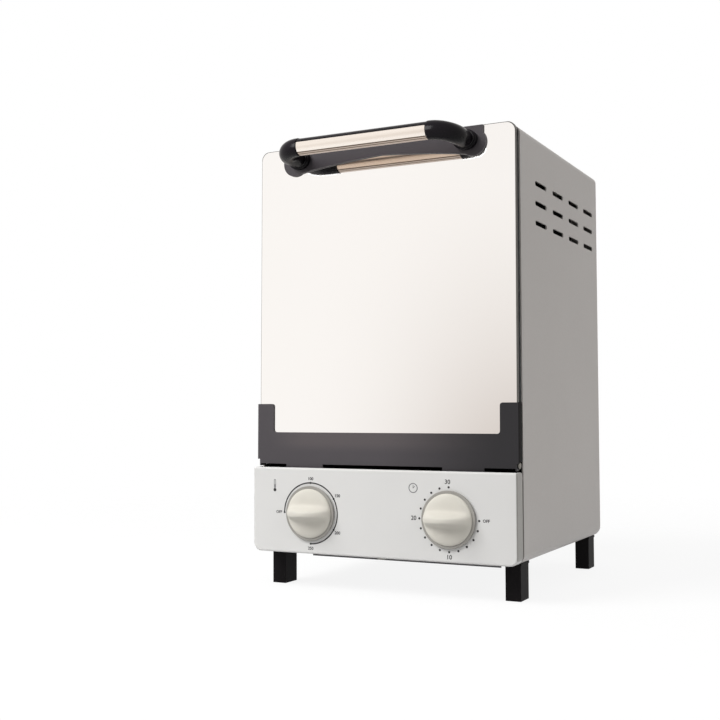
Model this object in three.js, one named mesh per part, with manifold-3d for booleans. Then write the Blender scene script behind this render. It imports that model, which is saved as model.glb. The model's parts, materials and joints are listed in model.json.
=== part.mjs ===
// A small dry heat sterilizer: a steel cabinet with a drop-down mirror door, three
// sheet trays, two sheathed heaters, a capillary thermostat and a clockwork timer.
// Millimetres, +Z up. X runs to the right, Y runs from front to back.
// Sizes are written from the front face of the control panel (Y = 0), the middle of the cabinet
// (X = 0) and the bench (Z = 0). The last group moves the whole to the middle of its footprint.
import * as THREE from 'three';
import { mergeVertices } from 'three/addons/utils/BufferGeometryUtils.js';
import Module from 'manifold-3d';

const wasm = await Module();
wasm.setup();

// Cabinet
const bodyWidth = 210;
const bodyDepth = 216;
const cabinetHeight = 330;
const footHeight = 26.5;
const wall = 1;
const topBend = 5;
const bottomBend = 6.5;
const rearBend = 5.5;
const rearBottomBend = 8;
const rearFlange = 13;
const floorFlange = 14;
const seamGap = 0.3;
const overrun = 2;

// Control panel
const panelDrop = 4.5;
const panelDepth = 13.1;
const panelCorner = 6;
const panelFrontBend = 2;
const panelLip = 3;
const panelSideKeep = 1.5;
const dialInset = 49.8;
const dialShare = 0.4731;
const shaftHoleRadius = 4;

// Front frame, sill and hinge ears
const frameFront = 15.4;
const sillDrop = 9.2;
const sillFront = 1.3;
const hingeDepth = 9.5;
const hingeHeight = 94.2;
const earThickness = 1.5;
const earRadius = 2.7;
const earArmDrop = 1.7;
const earSideGap = 4;
const earSpacing = 8.5;

// Chamber
const chamberSideGap = 17;
const chamberRise = 10.3;
const chamberHeadroom = 13.5;
const rearSpace = 26;
const chamberCorner = 6;
const railReach = 4;
const railHeight = 2.5;
const railInset = 4;

// Trays
const traySideGap = 1.8;
const trayRearGap = 8;
const trayRim = 12;
const trayCorner = 6;
const trayFront = 20;
const trayRise = 31.5;
const trayHeadroom = 6.5;
const trayNames = ['tray_lower', 'tray_middle', 'tray_upper'];
const traySlots = 6;
const traySlotWidth = 6;
const traySlotMargin = 18;

// Door pane and its folded bracket
const paneSideGap = 1.5;
const paneThickness = 4;
const paneFront = 6.8;
const paneOverTop = 2.7;
const paneRise = 4.6;
const paneCorner = 6.5;
const seatGap = 0.3;
const bracketSideGap = 0.2;
const bracketDrop = 2.1;
const bandRise = 21.7;
const armRise = 43.2;
const bracketArmWidth = 13.8;
const bracketCorner = 2;
const bracketStep = 1.8;
const bracketStepHeight = 3.4;
const bracketBackLip = 14;
const bracketEarDepth = 2.4;
const bracketEarDrop = 3.7;
const tabInner = 48;
const tabWidth = 31.5;
const tabDrop = 3;
const shellRestGap = 0.3;

// Hinge pins and springs
const pinRadius = 1.5;
const pinClearance = 0.3;
const pinHeadRadius = 2.4;
const pinHeadClearance = 0.4;
const pinHeadThickness = 1.1;
const springRadius = 2.8;
const springWire = 0.9;
const springClearance = 0.4;

// Handle
const elbowTube = 6.8;
const trimRadius = 6.2;
const coreRadius = 5.2;
const barRise = 2;
const barStand = 38;
const legInset = 36;
const elbowRadius = 15;
const legDrop = 10.4;
const trimEndGap = 16.5;
const trimTopAngle = 28;
const trimTurnGap = 4;
const footWidth = 18;
const footTall = 14.5;
const footRise = 3.5;
const footStep = 2;
const plateThickness = 1.6;
const plateTopDrop = 0.4;
const plateInset = 23;
const lobeRadius = 9.8;
const lobeInset = 31;
const lobeDrop = 1.7;
const archDrop = 3;
const lobeLeaveTurn = 2.18;
const archEaseShare = 0.63;
const roundEaseShare = 0.5523;
const handleScrewRadius = 2;
const handleScrewHead = 1.5;

// Knobs
const knobRadius = 19.2;
const knobSkirt = 1.6;
const knobSkirtRim = 1.2;
const knobStand = 0.6;
const knobDome = 7.5;
const knobFin = 13.5;
const knobFinWidth = 5;
const knobBlendPower = 3;
const knobFinPower = 4;
const shaftRadius = 3;
const shaftReach = 9;
const shaftTail = 5;
const shaftFlat = 0.7;

// Thermostat and its sensor
const thermostatSize = 32;
const thermostatDepth = 20;
const bridgeLength = 46;
const bridgeTimer = 58;
const bridgeHeight = 16;
const tabLength = 7;
const tabBreadth = 4;
const tabSheet = 0.8;
const bulbRadius = 3;
const bulbLength = 70;
const bulbStart = 60;
const bulbRise = 20;
const bulbWallGap = 8;
const capillaryRadius = 1;
const capillaryPort = 45;
const capillaryGap = 8;
const clipWidth = 6;
const clipSheet = 1;

// Timer and bell
const timerRadius = 19;
const timerDepth = 28;
const timerTabShare = 0.9;
const bellRadius = 14;
const bellDepth = 7;
const bellPost = 2;
const bellGap = 2.5;
const bellPostEnd = 0.5;
const bellInnerShare = 0.6;
const bellOuterShare = 0.7;
const bellCrownShare = 1.5;

// Heaters
const heaterRadius = 3.2;
const heaterStandOut = 8;
const studRadius = 1.6;
const studLength = 4;
const heaterWallOffset = 11.5;
const heaterLoopGap = 12;
const heaterBend = 18;
const heaterRestWidth = 8;
const heaterRestThickness = 1.5;
const heaterFrontPlace = 60;
const heaterRearInset = 50;
const bushFlangeRadius = 7;
const bushFlangeThickness = 3.5;
const bushNeckRadius = 4.7;
const bushNeckLength = 2;

// Feet
const footLegWidth = 11.3;
const footLegDepth = 16.8;
const footSideGap = 4.9;
const frontFootPlace = 20.1;
const rearFootInset = 24.2;
const footFlange = 0.4;
const footFlangeThickness = 1.8;
const footBore = 12;

// Vents
const ventLength = 26.6;
const ventHeight = 3.5;
const ventFirst = 59.3;
const ventRearInset = 31.6;
const ventColumns = 4;
const ventDrop = 34.6;
const ventRowPitch = 14.35;
const ventRows = 3;
const rearVentLength = 34;
const rearVentColumns = 3;
const rearVentRows = 4;
const rearVentPitch = 46;
const rearVentRowPitch = 11;
const rearVentDrop = 34;
const baseVentLength = 30;
const baseVentWidth = 4;
const baseVentCount = 5;
const baseVentPitch = 16;
const baseVentShare = 0.51;
const baseLipDrop = 3;
const baseLipStartGap = 30;
const baseLipEndGap = 3;

// Rear panel, gland, fasteners, terminal block and leads
const rearPanelOverlap = 7;
const rearPanelCorner = 5;
const glandSideGap = 37;
const glandHeight = 52;
const glandRadius = 8;
const glandHole = 6;
const glandBore = 3.6;
const glandReach = 6;
const screwRadius = 1.5;
const screwHeadRadius = 3.2;
const screwHeadHeight = 1.7;
const screwLength = 7;
const blockLength = 42;
const blockDepth = 18;
const blockHeight = 15;
const blockSideGap = 53;
const blockRearInset = 66;
const blockWays = 3;
const blockNotch = 3;
const leadRadius = 1.2;
const leadStraightShare = 6;

// Facet counts
const roundSides = 16;
const smallSides = 10;
const bendSteps = 3;
const slotSteps = 2;
const barSteps = 8;
const barSides = 10;
const elbowSteps = 12;
const ovalSteps = 8;
const plateSteps = 6;
const knobSides = 28;
const knobRings = 6;
const leadSides = 6;
const heaterSides = 8;
const heaterSteps = 36;
const capillarySteps = 44;
const leadStepsPerPoint = 4;

const shellFront = panelDepth + seamGap;
const halfWidth = bodyWidth / 2;
const halfChamber = halfWidth - chamberSideGap;
const floorTop = footHeight + wall;
const plateFloor = floorTop + wall;
const frameBack = frameFront + wall;
const knobX = halfWidth - dialInset;
const rearFace = bodyDepth + wall;
const outerEarReach = halfWidth - earSideGap;
const innerEarReach = outerEarReach - earSpacing;
const trayWidth = (halfChamber - traySideGap) * 2;
const paneWidth = (halfWidth - paneSideGap) * 2;
const bracketWidth = (halfWidth - bracketSideGap) * 2;
const barHalfSpan = paneWidth / 2 - legInset;
const trimLength = (barHalfSpan - trimEndGap) * 2;
const plateHalfTop = paneWidth / 2 - plateInset;
const lobeReach = paneWidth / 2 - lobeInset;
const capillaryReach = halfChamber + capillaryGap;
const heaterReach = halfChamber + heaterStandOut;
const heaterLoopReach = halfChamber - heaterLoopGap;
const footOuter = halfWidth - footSideGap;
const glandPlace = halfWidth - glandSideGap;
const blockPlaceX = halfWidth - blockSideGap;
const sillHeight = hingeHeight - sillDrop;
const panelTop = hingeHeight - panelDrop;
const dialHeight = footHeight + (panelTop - footHeight) * dialShare;
const bracketBottom = hingeHeight - bracketDrop;
const bracketBand = hingeHeight + bandRise;
const bracketArmTop = hingeHeight + armRise;
const paneBottom = hingeHeight + paneRise;
const chamberBottom = hingeHeight + chamberRise;
const lowestTray = chamberBottom + trayRise;
const chamberTop = cabinetHeight - chamberHeadroom;
const chamberRear = bodyDepth - rearSpace;
const trayDepth = chamberRear - trayRearGap - trayFront;
const trayPitch = (chamberTop - trayHeadroom - lowestTray) / trayNames.length;
const paneTop = cabinetHeight + paneOverTop;
const legHeight = paneTop - legDrop;
const barHeight = legHeight + barRise;
const plateTop = paneTop - plateTopDrop;
const lobeHeight = legHeight - lobeDrop;
const plateArch = legHeight - archDrop;
const rearFootPlace = bodyDepth - rearFootInset;
const ventPitch = (bodyDepth - ventRearInset - ventFirst) / (ventColumns - 1);
const bulbHeight = lowestTray + trayRim + bulbRise;
const heaterRearPlace = chamberRear - heaterRearInset;
const blockPlaceY = bodyDepth - blockRearInset;

// Turns a closed geometry into a solid that can be joined and cut.
function solidOf(geometry) {
  const bare = geometry.index ? geometry.toNonIndexed() : geometry.clone();
  bare.deleteAttribute('normal');
  bare.deleteAttribute('uv');
  const merged = mergeVertices(bare);
  const vertProperties = new Float32Array(merged.attributes.position.array);
  const triVerts = new Uint32Array(merged.index.array);
  return new wasm.Manifold(new wasm.Mesh({ numProp: 3, vertProperties, triVerts }));
}

function geometryOf(solid) {
  const mesh = solid.getMesh();
  const geometry = new THREE.BufferGeometry();
  geometry.setAttribute('position', new THREE.BufferAttribute(mesh.vertProperties, mesh.numProp));
  geometry.setIndex(new THREE.BufferAttribute(mesh.triVerts, 1));
  geometry.computeVertexNormals();
  return geometry;
}

const joined = (solids) => solids.reduce((whole, piece) => whole.add(piece));
const cutBy = (solid, tools) => tools.reduce((whole, tool) => whole.subtract(tool), solid);

function block(low, high) {
  const size = high.map((value, i) => value - low[i]);
  const geometry = new THREE.BoxGeometry(...size);
  geometry.translate(...high.map((value, i) => (value + low[i]) / 2));
  return solidOf(geometry);
}

// A rectangle whose four corners may each have a radius, from lower left round to upper left.
function roundedRectangle(left, bottom, right, top, radii) {
  const [lowLeft, lowRight, highRight, highLeft] = radii;
  const shape = new THREE.Shape();
  shape.moveTo(left + lowLeft, bottom);
  shape.lineTo(right - lowRight, bottom);
  if (lowRight) shape.absarc(right - lowRight, bottom + lowRight, lowRight, -Math.PI / 2, 0);
  shape.lineTo(right, top - highRight);
  if (highRight) shape.absarc(right - highRight, top - highRight, highRight, 0, Math.PI / 2);
  shape.lineTo(left + highLeft, top);
  if (highLeft) shape.absarc(left + highLeft, top - highLeft, highLeft, Math.PI / 2, Math.PI);
  shape.lineTo(left, bottom + lowLeft);
  if (lowLeft) shape.absarc(left + lowLeft, bottom + lowLeft, lowLeft, Math.PI, 1.5 * Math.PI);
  return shape;
}

function slotShape(centreX, centreY, length, height) {
  const half = length / 2;
  const round = height / 2;
  return roundedRectangle(centreX - half, centreY - round, centreX + half, centreY + round,
    [round, round, round, round]);
}

function extruded(shape, depth, steps) {
  return new THREE.ExtrudeGeometry(shape, { depth, bevelEnabled: false, curveSegments: steps });
}

// The shape is drawn in X and Z and runs back along Y.
function alongY(shape, from, to, steps = bendSteps) {
  const geometry = extruded(shape, to - from, steps);
  geometry.rotateX(Math.PI / 2);
  geometry.translate(0, to, 0);
  return solidOf(geometry);
}

// The shape is drawn in Y and Z and runs along X.
function alongX(shape, from, to, steps = bendSteps) {
  const geometry = extruded(shape, to - from, steps);
  const turn = new THREE.Matrix4().makeBasis(
    new THREE.Vector3(0, 1, 0), new THREE.Vector3(0, 0, 1), new THREE.Vector3(1, 0, 0));
  geometry.applyMatrix4(turn);
  geometry.translate(from, 0, 0);
  return solidOf(geometry);
}

// The shape is drawn in X and Y and runs up along Z.
function alongZ(shape, from, to, steps = bendSteps) {
  const geometry = extruded(shape, to - from, steps);
  geometry.translate(0, 0, from);
  return solidOf(geometry);
}

// A turned piece: pairs of radius and station along the axis, first and last on the axis.
function turned(profile, axis, place, sides = smallSides) {
  const points = profile.map(([radius, station]) => new THREE.Vector2(radius, station));
  const geometry = new THREE.LatheGeometry(points, sides);
  if (axis === 'x') geometry.rotateZ(-Math.PI / 2);
  if (axis === 'z') geometry.rotateX(Math.PI / 2);
  geometry.translate(...place);
  return solidOf(geometry);
}

function rod(axis, place, radius, from, to, sides = smallSides) {
  return turned([[0, from], [radius, from], [radius, to], [0, to]], axis, place, sides);
}

// A tube of round section that follows a smooth line through the points.
function tubeThrough(points, radius, sides, steps) {
  const line = new THREE.CatmullRomCurve3(points.map((p) => new THREE.Vector3(...p)), false,
    'centripetal');
  return tubeAlong(line, radius, sides, steps);
}

function tubeAlong(line, radius, sides, steps) {
  const section = new THREE.Shape();
  for (let i = 0; i < sides; i += 1) {
    const turn = (i / sides) * 2 * Math.PI;
    const corner = [radius * Math.cos(turn), radius * Math.sin(turn)];
    if (i === 0) section.moveTo(...corner);
    else section.lineTo(...corner);
  }
  const geometry = new THREE.ExtrudeGeometry(section, { steps, extrudePath: line });
  return solidOf(geometry);
}

const paint = {
  shell: { color: 0xa6a49f, roughness: 0.5, metalness: 0.15 },
  panel: { color: 0xd9d9d8, roughness: 0.45, metalness: 0.1 },
  darkBracket: { color: 0x4a474c, roughness: 0.5, metalness: 0.2 },
  mirror: { color: 0xf1eeea, roughness: 0.06, metalness: 0.95 },
  blackPlastic: { color: 0x1c1b1f, roughness: 0.35, metalness: 0 },
  champagne: { color: 0xd9c8b0, roughness: 0.25, metalness: 0.9 },
  knob: { color: 0xdedad0, roughness: 0.5, metalness: 0 },
  steel: { color: 0xc4c6c8, roughness: 0.3, metalness: 0.9 },
  galvanised: { color: 0x9da1a3, roughness: 0.5, metalness: 0.7 },
  ceramic: { color: 0xe9e4da, roughness: 0.6, metalness: 0 },
  foot: { color: 0x232224, roughness: 0.6, metalness: 0 },
  brass: { color: 0xb5924c, roughness: 0.35, metalness: 0.9 },
  lead: { color: 0xc9c2b4, roughness: 0.7, metalness: 0 },
};

const cabinet = new THREE.Group();
const door = new THREE.Group();

function place(group, name, solid, finish) {
  const mesh = new THREE.Mesh(geometryOf(solid), new THREE.MeshStandardMaterial(paint[finish]));
  mesh.name = name;
  group.add(mesh);
  return mesh;
}

// The outside of the cabinet, drawn in by an amount all round.
function cabinetForm(inset, front) {
  const side = halfWidth - inset;
  const low = footHeight + inset;
  const high = cabinetHeight - inset;
  const back = bodyDepth - inset;
  const frontView = roundedRectangle(-side, low, side, high,
    [bottomBend - inset, bottomBend - inset, topBend - inset, topBend - inset]);
  const sideView = roundedRectangle(front, low, back, high,
    [0, rearBottomBend - inset, rearBend - inset, 0]);
  const plan = roundedRectangle(-side, front, side, back,
    [0, 0, rearBend - inset, rearBend - inset]);
  return alongY(frontView, front, back)
    .intersect(alongX(sideView, -side, side))
    .intersect(alongZ(plan, low, high));
}

function rearScrewPlaces() {
  const side = halfWidth - rearFlange + rearPanelOverlap / 2;
  const low = footHeight + rearFlange - rearPanelOverlap / 2;
  const high = cabinetHeight - rearFlange + rearPanelOverlap / 2;
  const places = [];
  for (const x of [-side, side]) {
    for (const z of [low + rearPanelOverlap, high - rearPanelOverlap]) {
      const level = z > (low + high) / 2 ? 'upper' : 'lower';
      places.push({ x, z, name: `rear_screw_${level}_${x < 0 ? 'left' : 'right'}` });
    }
  }
  return places;
}

function footPlaces() {
  const places = [];
  for (const [side, sideName] of [[-1, 'left'], [1, 'right']]) {
    for (const [front, endName] of [[frontFootPlace, 'front'], [rearFootPlace, 'rear']]) {
      const centreX = side * (footOuter - footLegWidth / 2);
      places.push({ centreX, centreY: front + footLegDepth / 2, name: `${endName}_${sideName}` });
    }
  }
  return places;
}

function makeShell() {
  const openSide = halfWidth - rearFlange;
  const rearWindow = block([-openSide, bodyDepth - overrun * 2, footHeight + rearFlange],
    [openSide, bodyDepth + overrun, cabinetHeight - rearFlange]);
  const openFloor = halfWidth - floorFlange;
  const floorWindow = block([-openFloor, shellFront - overrun, footHeight - overrun],
    [openFloor, bodyDepth - floorFlange, floorTop + overrun]);
  const tools = [cabinetForm(wall, shellFront - overrun), rearWindow, floorWindow];
  for (let row = 0; row < ventRows; row += 1) {
    for (let column = 0; column < ventColumns; column += 1) {
      const slot = slotShape(ventFirst + column * ventPitch, cabinetHeight - ventDrop - row * ventRowPitch,
        ventLength, ventHeight);
      tools.push(alongX(slot, -halfWidth - overrun, halfWidth + overrun, slotSteps));
    }
  }
  for (const { x, z } of rearScrewPlaces()) {
    tools.push(rod('y', [x, bodyDepth, z], screwRadius + pinClearance, -overrun, overrun));
  }
  for (const foot of footPlaces()) {
    tools.push(rod('z', [foot.centreX, foot.centreY, footHeight], screwRadius + pinClearance,
      -overrun, overrun));
  }
  place(cabinet, 'outer_shell', cutBy(cabinetForm(0, shellFront), tools), 'shell');
}

function makeRearPanel() {
  const side = halfWidth - rearFlange + rearPanelOverlap;
  const corners = Array(4).fill(rearPanelCorner);
  const sheet = alongY(roundedRectangle(-side, footHeight + rearFlange - rearPanelOverlap, side,
    cabinetHeight - rearFlange + rearPanelOverlap, corners), bodyDepth, rearFace);
  const tools = [];
  const middle = (rearVentColumns - 1) / 2;
  for (let row = 0; row < rearVentRows; row += 1) {
    for (let column = 0; column < rearVentColumns; column += 1) {
      const height = cabinetHeight - rearVentDrop - row * rearVentRowPitch;
      const slot = slotShape((column - middle) * rearVentPitch, height, rearVentLength, ventHeight);
      tools.push(alongY(slot, bodyDepth - overrun, rearFace + overrun, slotSteps));
    }
  }
  for (const { x, z } of rearScrewPlaces()) {
    tools.push(rod('y', [x, rearFace, z], screwRadius + pinClearance, -overrun, overrun));
  }
  tools.push(rod('y', [glandPlace, rearFace, glandHeight], glandHole + seatGap, -overrun, overrun,
    roundSides));
  place(cabinet, 'rear_panel', cutBy(sheet, tools), 'shell');
  for (const { x, z, name } of rearScrewPlaces()) {
    place(cabinet, name, turned([[0, -screwLength], [screwRadius, -screwLength], [screwRadius, 0],
      [screwHeadRadius, 0], [screwHeadRadius, screwHeadHeight / 2],
      [screwHeadRadius / 2, screwHeadHeight], [0, screwHeadHeight]], 'y', [x, rearFace, z]), 'steel');
  }
  const gland = turned([[glandBore, -glandReach], [glandHole, -glandReach], [glandHole, 0],
    [glandRadius, 0], [glandRadius, glandReach / 3], [glandHole - seatGap, glandReach],
    [glandBore, glandReach], [glandBore, -glandReach]], 'y', [glandPlace, rearFace, glandHeight],
  roundSides);
  place(cabinet, 'cord_gland', gland, 'blackPlastic');
}

function makeBasePlate() {
  const side = halfWidth - bottomBend - seamGap;
  const back = bodyDepth - rearBottomBend - seamGap;
  const front = panelFrontBend + seatGap;
  const openFloor = halfWidth - floorFlange;
  const lipFront = shellFront + seamGap;
  const sheet = joined([
    block([-side, front, floorTop], [side, back, plateFloor]),
    block([-openFloor + baseLipStartGap, lipFront, footHeight - baseLipDrop],
      [openFloor - baseLipEndGap, lipFront + wall, plateFloor]),
  ]);
  const tools = [];
  const middle = (baseVentCount - 1) / 2;
  for (const sideSign of [-1, 1]) {
    for (let i = 0; i < baseVentCount; i += 1) {
      const centreY = bodyDepth * baseVentShare + (i - middle) * baseVentPitch;
      const slot = slotShape(sideSign * side / 3, centreY, baseVentLength, baseVentWidth);
      tools.push(alongZ(slot, floorTop - overrun, plateFloor + overrun, slotSteps));
    }
  }
  for (const foot of footPlaces()) {
    tools.push(rod('z', [foot.centreX, foot.centreY, plateFloor], screwRadius + pinClearance,
      -overrun, overrun));
  }
  tools.push(rod('z', [0, panelDepth / 2, plateFloor], screwRadius + pinClearance, -overrun, overrun));
  place(cabinet, 'base_plate', cutBy(sheet, tools), 'darkBracket');
}

function makeFeet() {
  for (const { centreX, centreY, name } of footPlaces()) {
    const halfX = footLegWidth / 2;
    const halfY = footLegDepth / 2;
    const leg = block([centreX - halfX, centreY - halfY, 0],
      [centreX + halfX, centreY + halfY, footHeight]);
    const flange = block(
      [centreX - halfX - footFlange, centreY - halfY, footHeight - footFlangeThickness],
      [centreX + halfX + footFlange, centreY + halfY + footFlange, footHeight]);
    const bore = rod('z', [centreX, centreY, footHeight], screwRadius + pinClearance, -footBore, overrun);
    place(cabinet, `foot_${name}`, leg.add(flange).subtract(bore), 'foot');
    const seat = plateFloor - footHeight;
    place(cabinet, `foot_screw_${name}`, turned([[0, -footBore + seatGap],
      [screwRadius, -footBore + screwRadius], [screwRadius, seat], [screwHeadRadius, seat],
      [screwHeadRadius, seat + screwHeadHeight], [0, seat + screwHeadHeight]], 'z',
    [centreX, centreY, footHeight]), 'steel');
  }
}

function makeControlPanel() {
  const form = (inset) => {
    const side = halfWidth - inset;
    const low = footHeight + inset;
    const high = panelTop - inset;
    const back = panelDepth + (inset ? overrun : 0);
    const bend = panelFrontBend - inset;
    const frontView = roundedRectangle(-side, low, side, high,
      [panelCorner - inset, panelCorner - inset, bend, bend]);
    const plan = roundedRectangle(-side, inset, side, back, [bend, bend, 0, 0]);
    const sideView = roundedRectangle(inset, low, back, high, [bend, 0, 0, bend]);
    return alongY(frontView, inset, back)
      .intersect(alongZ(plan, low, high))
      .intersect(alongX(sideView, -side, side));
  };
  const topCut = block([-halfWidth + panelSideKeep, panelLip, panelTop - overrun * 2],
    [halfWidth - panelSideKeep, panelDepth + overrun, panelTop + overrun]);
  const tools = [form(wall), topCut];
  for (const x of [-knobX, knobX]) {
    tools.push(rod('y', [x, 0, dialHeight], shaftHoleRadius, -overrun, overrun, roundSides));
  }
  tools.push(rod('z', [0, panelDepth / 2, footHeight], screwRadius + pinClearance, -overrun, overrun));
  place(cabinet, 'control_panel', cutBy(form(0), tools), 'panel');
  const screw = turned([[0, -screwHeadHeight], [screwHeadRadius, -screwHeadHeight / 2],
    [screwHeadRadius, 0], [screwRadius, 0], [screwRadius, screwLength], [0, screwLength]],
  'z', [0, panelDepth / 2, footHeight]);
  place(cabinet, 'panel_screw', screw, 'steel');
}

function makeFrontFrame() {
  const side = halfWidth - wall - seamGap;
  const top = cabinetHeight - wall - seamGap;
  const bend = topBend - wall;
  const sheet = alongY(roundedRectangle(-side, sillHeight - wall, side, top, [0, 0, bend, bend]),
    frameFront, frameBack);
  const window = alongY(roundedRectangle(-halfChamber, chamberBottom, halfChamber, chamberTop,
    Array(4).fill(chamberCorner)), frameFront - overrun, frameBack + overrun);
  const sill = block([-side, sillFront, sillHeight - wall], [side, frameBack, sillHeight]);
  const pieces = [sheet, sill];
  const holes = [window];
  for (const sign of [-1, 1]) {
    for (const reach of [outerEarReach, innerEarReach]) {
      const from = sign > 0 ? reach - earThickness : -reach;
      const arm = roundedRectangle(hingeDepth - earRadius, hingeHeight - earRadius,
        hingeDepth + earRadius, hingeHeight + earRadius, Array(4).fill(earRadius));
      pieces.push(alongX(arm, from, from + earThickness, bendSteps));
      pieces.push(block([from, hingeDepth, hingeHeight - earArmDrop],
        [from + earThickness, frameBack, hingeHeight + earRadius]));
    }
    const bore = rod('x', [0, hingeDepth, hingeHeight], pinRadius + pinClearance,
      sign > 0 ? innerEarReach - earThickness - overrun : -outerEarReach - overrun,
      sign > 0 ? outerEarReach + overrun : -innerEarReach + earThickness + overrun);
    holes.push(bore);
  }
  place(cabinet, 'front_frame', cutBy(joined(pieces), holes), 'galvanised');
}

function makeHingePins() {
  for (const [sign, name] of [[-1, 'left'], [1, 'right']]) {
    const headFace = bracketWidth / 2 - bracketStep + seatGap;
    const tip = innerEarReach - earThickness - seatGap;
    const profile = [[0, tip], [pinRadius, tip], [pinRadius, headFace], [pinHeadRadius, headFace],
      [pinHeadRadius, headFace + pinHeadThickness / 2],
      [pinRadius, headFace + pinHeadThickness], [0, headFace + pinHeadThickness]];
    const ordered = sign > 0 ? profile : profile.map(([r, s]) => [r, -s]).reverse();
    place(cabinet, `hinge_pin_${name}`, turned(ordered, 'x', [0, hingeDepth, hingeHeight]), 'steel');
    const inner = pinRadius + springClearance;
    const start = innerEarReach + springClearance;
    const end = outerEarReach - earThickness - springClearance;
    const ring = [[inner, start], [springRadius, start], [springRadius, end], [inner, end],
      [inner, start]];
    const wound = sign > 0 ? ring : ring.map(([r, s]) => [r, -s]).reverse();
    const coil = turned(wound, 'x', [0, hingeDepth, hingeHeight]);
    const legHigh = hingeHeight + springRadius;
    const legX = sign * (start + springWire);
    const leg = block([legX - springWire / 2, hingeDepth, legHigh - springWire],
      [legX + springWire / 2, frameFront, legHigh]);
    place(cabinet, `hinge_spring_${name}`, coil.add(leg), 'steel');
  }
}

const trayFloor = (level) => lowestTray + level * trayPitch;

function heaterLevels() {
  return [
    { name: 'bottom', z: chamberBottom + heaterWallOffset },
    { name: 'top', z: chamberTop - heaterWallOffset },
  ];
}

const heaterEnds = [['front', heaterFrontPlace], ['rear', heaterRearPlace]];

function makeChamber() {
  const ring = (inset) => roundedRectangle(-halfChamber - inset, chamberBottom - inset,
    halfChamber + inset, chamberTop + inset, Array(4).fill(chamberCorner + inset));
  const pieces = [alongY(ring(wall), frameBack, chamberRear)
    .subtract(alongY(ring(0), frameBack - overrun, chamberRear + overrun))];
  trayNames.forEach((name, level) => {
    const railTop = trayFloor(level) - seatGap;
    for (const sign of [-1, 1]) {
      const inner = sign * (halfChamber - railReach);
      const outer = sign * (halfChamber + wall / 2);
      pieces.push(block(
        [Math.min(inner, outer), frameBack + railInset, railTop - railHeight],
        [Math.max(inner, outer), chamberRear - railInset, railTop]));
    }
  });
  const holes = [];
  const middle = (heaterFrontPlace + heaterRearPlace) / 2;
  for (const { z } of heaterLevels()) {
    for (const [, y] of heaterEnds) {
      holes.push(rod('x', [halfChamber, y, z], bushNeckRadius + seatGap, -overrun, overrun));
    }
    const under = z - heaterRadius - seatGap;
    pieces.push(block([-halfChamber - wall / 2, middle - heaterRestWidth / 2, under - heaterRestThickness],
      [-heaterLoopReach + heaterRadius, middle + heaterRestWidth / 2, under]));
  }
  holes.push(rod('x', [-halfChamber, capillaryPort, bulbHeight], capillaryRadius + seatGap,
    -overrun, overrun));
  place(cabinet, 'chamber_liner', cutBy(joined(pieces), holes), 'steel');
  const back = alongY(ring(wall), chamberRear, chamberRear + wall);
  place(cabinet, 'chamber_back', back, 'steel');
}

// Each heater is one sheathed rod bent into a U, with both ends through the right-hand wall.
function makeHeaters() {
  for (const { name, z } of heaterLevels()) {
    const at = (x, y) => new THREE.Vector3(x, y, z);
    const turnIn = -heaterLoopReach + heaterBend;
    const path = new THREE.CurvePath();
    const frontCorner = at(-heaterLoopReach, heaterFrontPlace);
    const rearCorner = at(-heaterLoopReach, heaterRearPlace);
    const points = [at(heaterReach, heaterFrontPlace), at(turnIn, heaterFrontPlace),
      at(-heaterLoopReach, heaterFrontPlace + heaterBend),
      at(-heaterLoopReach, heaterRearPlace - heaterBend),
      at(turnIn, heaterRearPlace), at(heaterReach, heaterRearPlace)];
    const bend = (from, corner, to) => new THREE.CubicBezierCurve3(from,
      from.clone().lerp(corner, roundEaseShare), to.clone().lerp(corner, roundEaseShare), to);
    path.add(new THREE.LineCurve3(points[0], points[1]));
    path.add(bend(points[1], frontCorner, points[2]));
    path.add(new THREE.LineCurve3(points[2], points[3]));
    path.add(bend(points[3], rearCorner, points[4]));
    path.add(new THREE.LineCurve3(points[4], points[5]));
    const studs = heaterEnds.map(([, y]) => rod('x', [heaterReach, y, z], studRadius, -overrun,
      studLength));
    place(cabinet, `heater_${name}`, joined([tubeAlong(path, heaterRadius, heaterSides, heaterSteps),
      ...studs]), 'steel');
    for (const [endName, y] of heaterEnds) {
      const face = halfChamber + wall;
      const bore = heaterRadius + seatGap;
      const inner = face - bushNeckLength - wall;
      place(cabinet, `heater_bush_${name}_${endName}`, turned([[bore, inner], [bushNeckRadius, inner],
        [bushNeckRadius, face], [bushFlangeRadius, face],
        [bushFlangeRadius, face + bushFlangeThickness], [bore, face + bushFlangeThickness],
        [bore, inner]], 'x', [0, y, z]), 'ceramic');
    }
  }
}

function makeTrays() {
  trayNames.forEach((name, level) => {
    const low = trayFloor(level);
    const side = trayWidth / 2;
    const plan = (inset) => roundedRectangle(-side + inset, trayFront + inset, side - inset,
      trayFront + trayDepth - inset, Array(4).fill(trayCorner - inset));
    const tools = [alongZ(plan(wall), low + wall, low + trayRim + overrun)];
    const run = trayWidth - traySlotMargin * 2;
    for (let i = 0; i < traySlots; i += 1) {
      const centreX = -run / 2 + (i + 0.5) * run / traySlots;
      const half = traySlotWidth / 2;
      tools.push(alongZ(roundedRectangle(centreX - half, trayFront + traySlotMargin, centreX + half,
        trayFront + trayDepth - traySlotMargin, Array(4).fill(half)), low - overrun,
      low + wall + overrun, slotSteps));
    }
    place(cabinet, name, cutBy(alongZ(plan(0), low, low + trayRim), tools), 'steel');
  });
}

// A shaft with a flat on its knob end, seated in the bore of the control behind the panel.
function makeShaft(name, x, bodyFront) {
  const round = rod('y', [x, 0, dialHeight], shaftRadius, -shaftReach, bodyFront + shaftTail,
    roundSides);
  const flat = block(
    [x - shaftRadius - overrun, -shaftReach - overrun, dialHeight + shaftRadius - shaftFlat],
    [x + shaftRadius + overrun, 0, dialHeight + shaftRadius + overrun]);
  place(cabinet, name, round.subtract(flat), 'steel');
}

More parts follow.
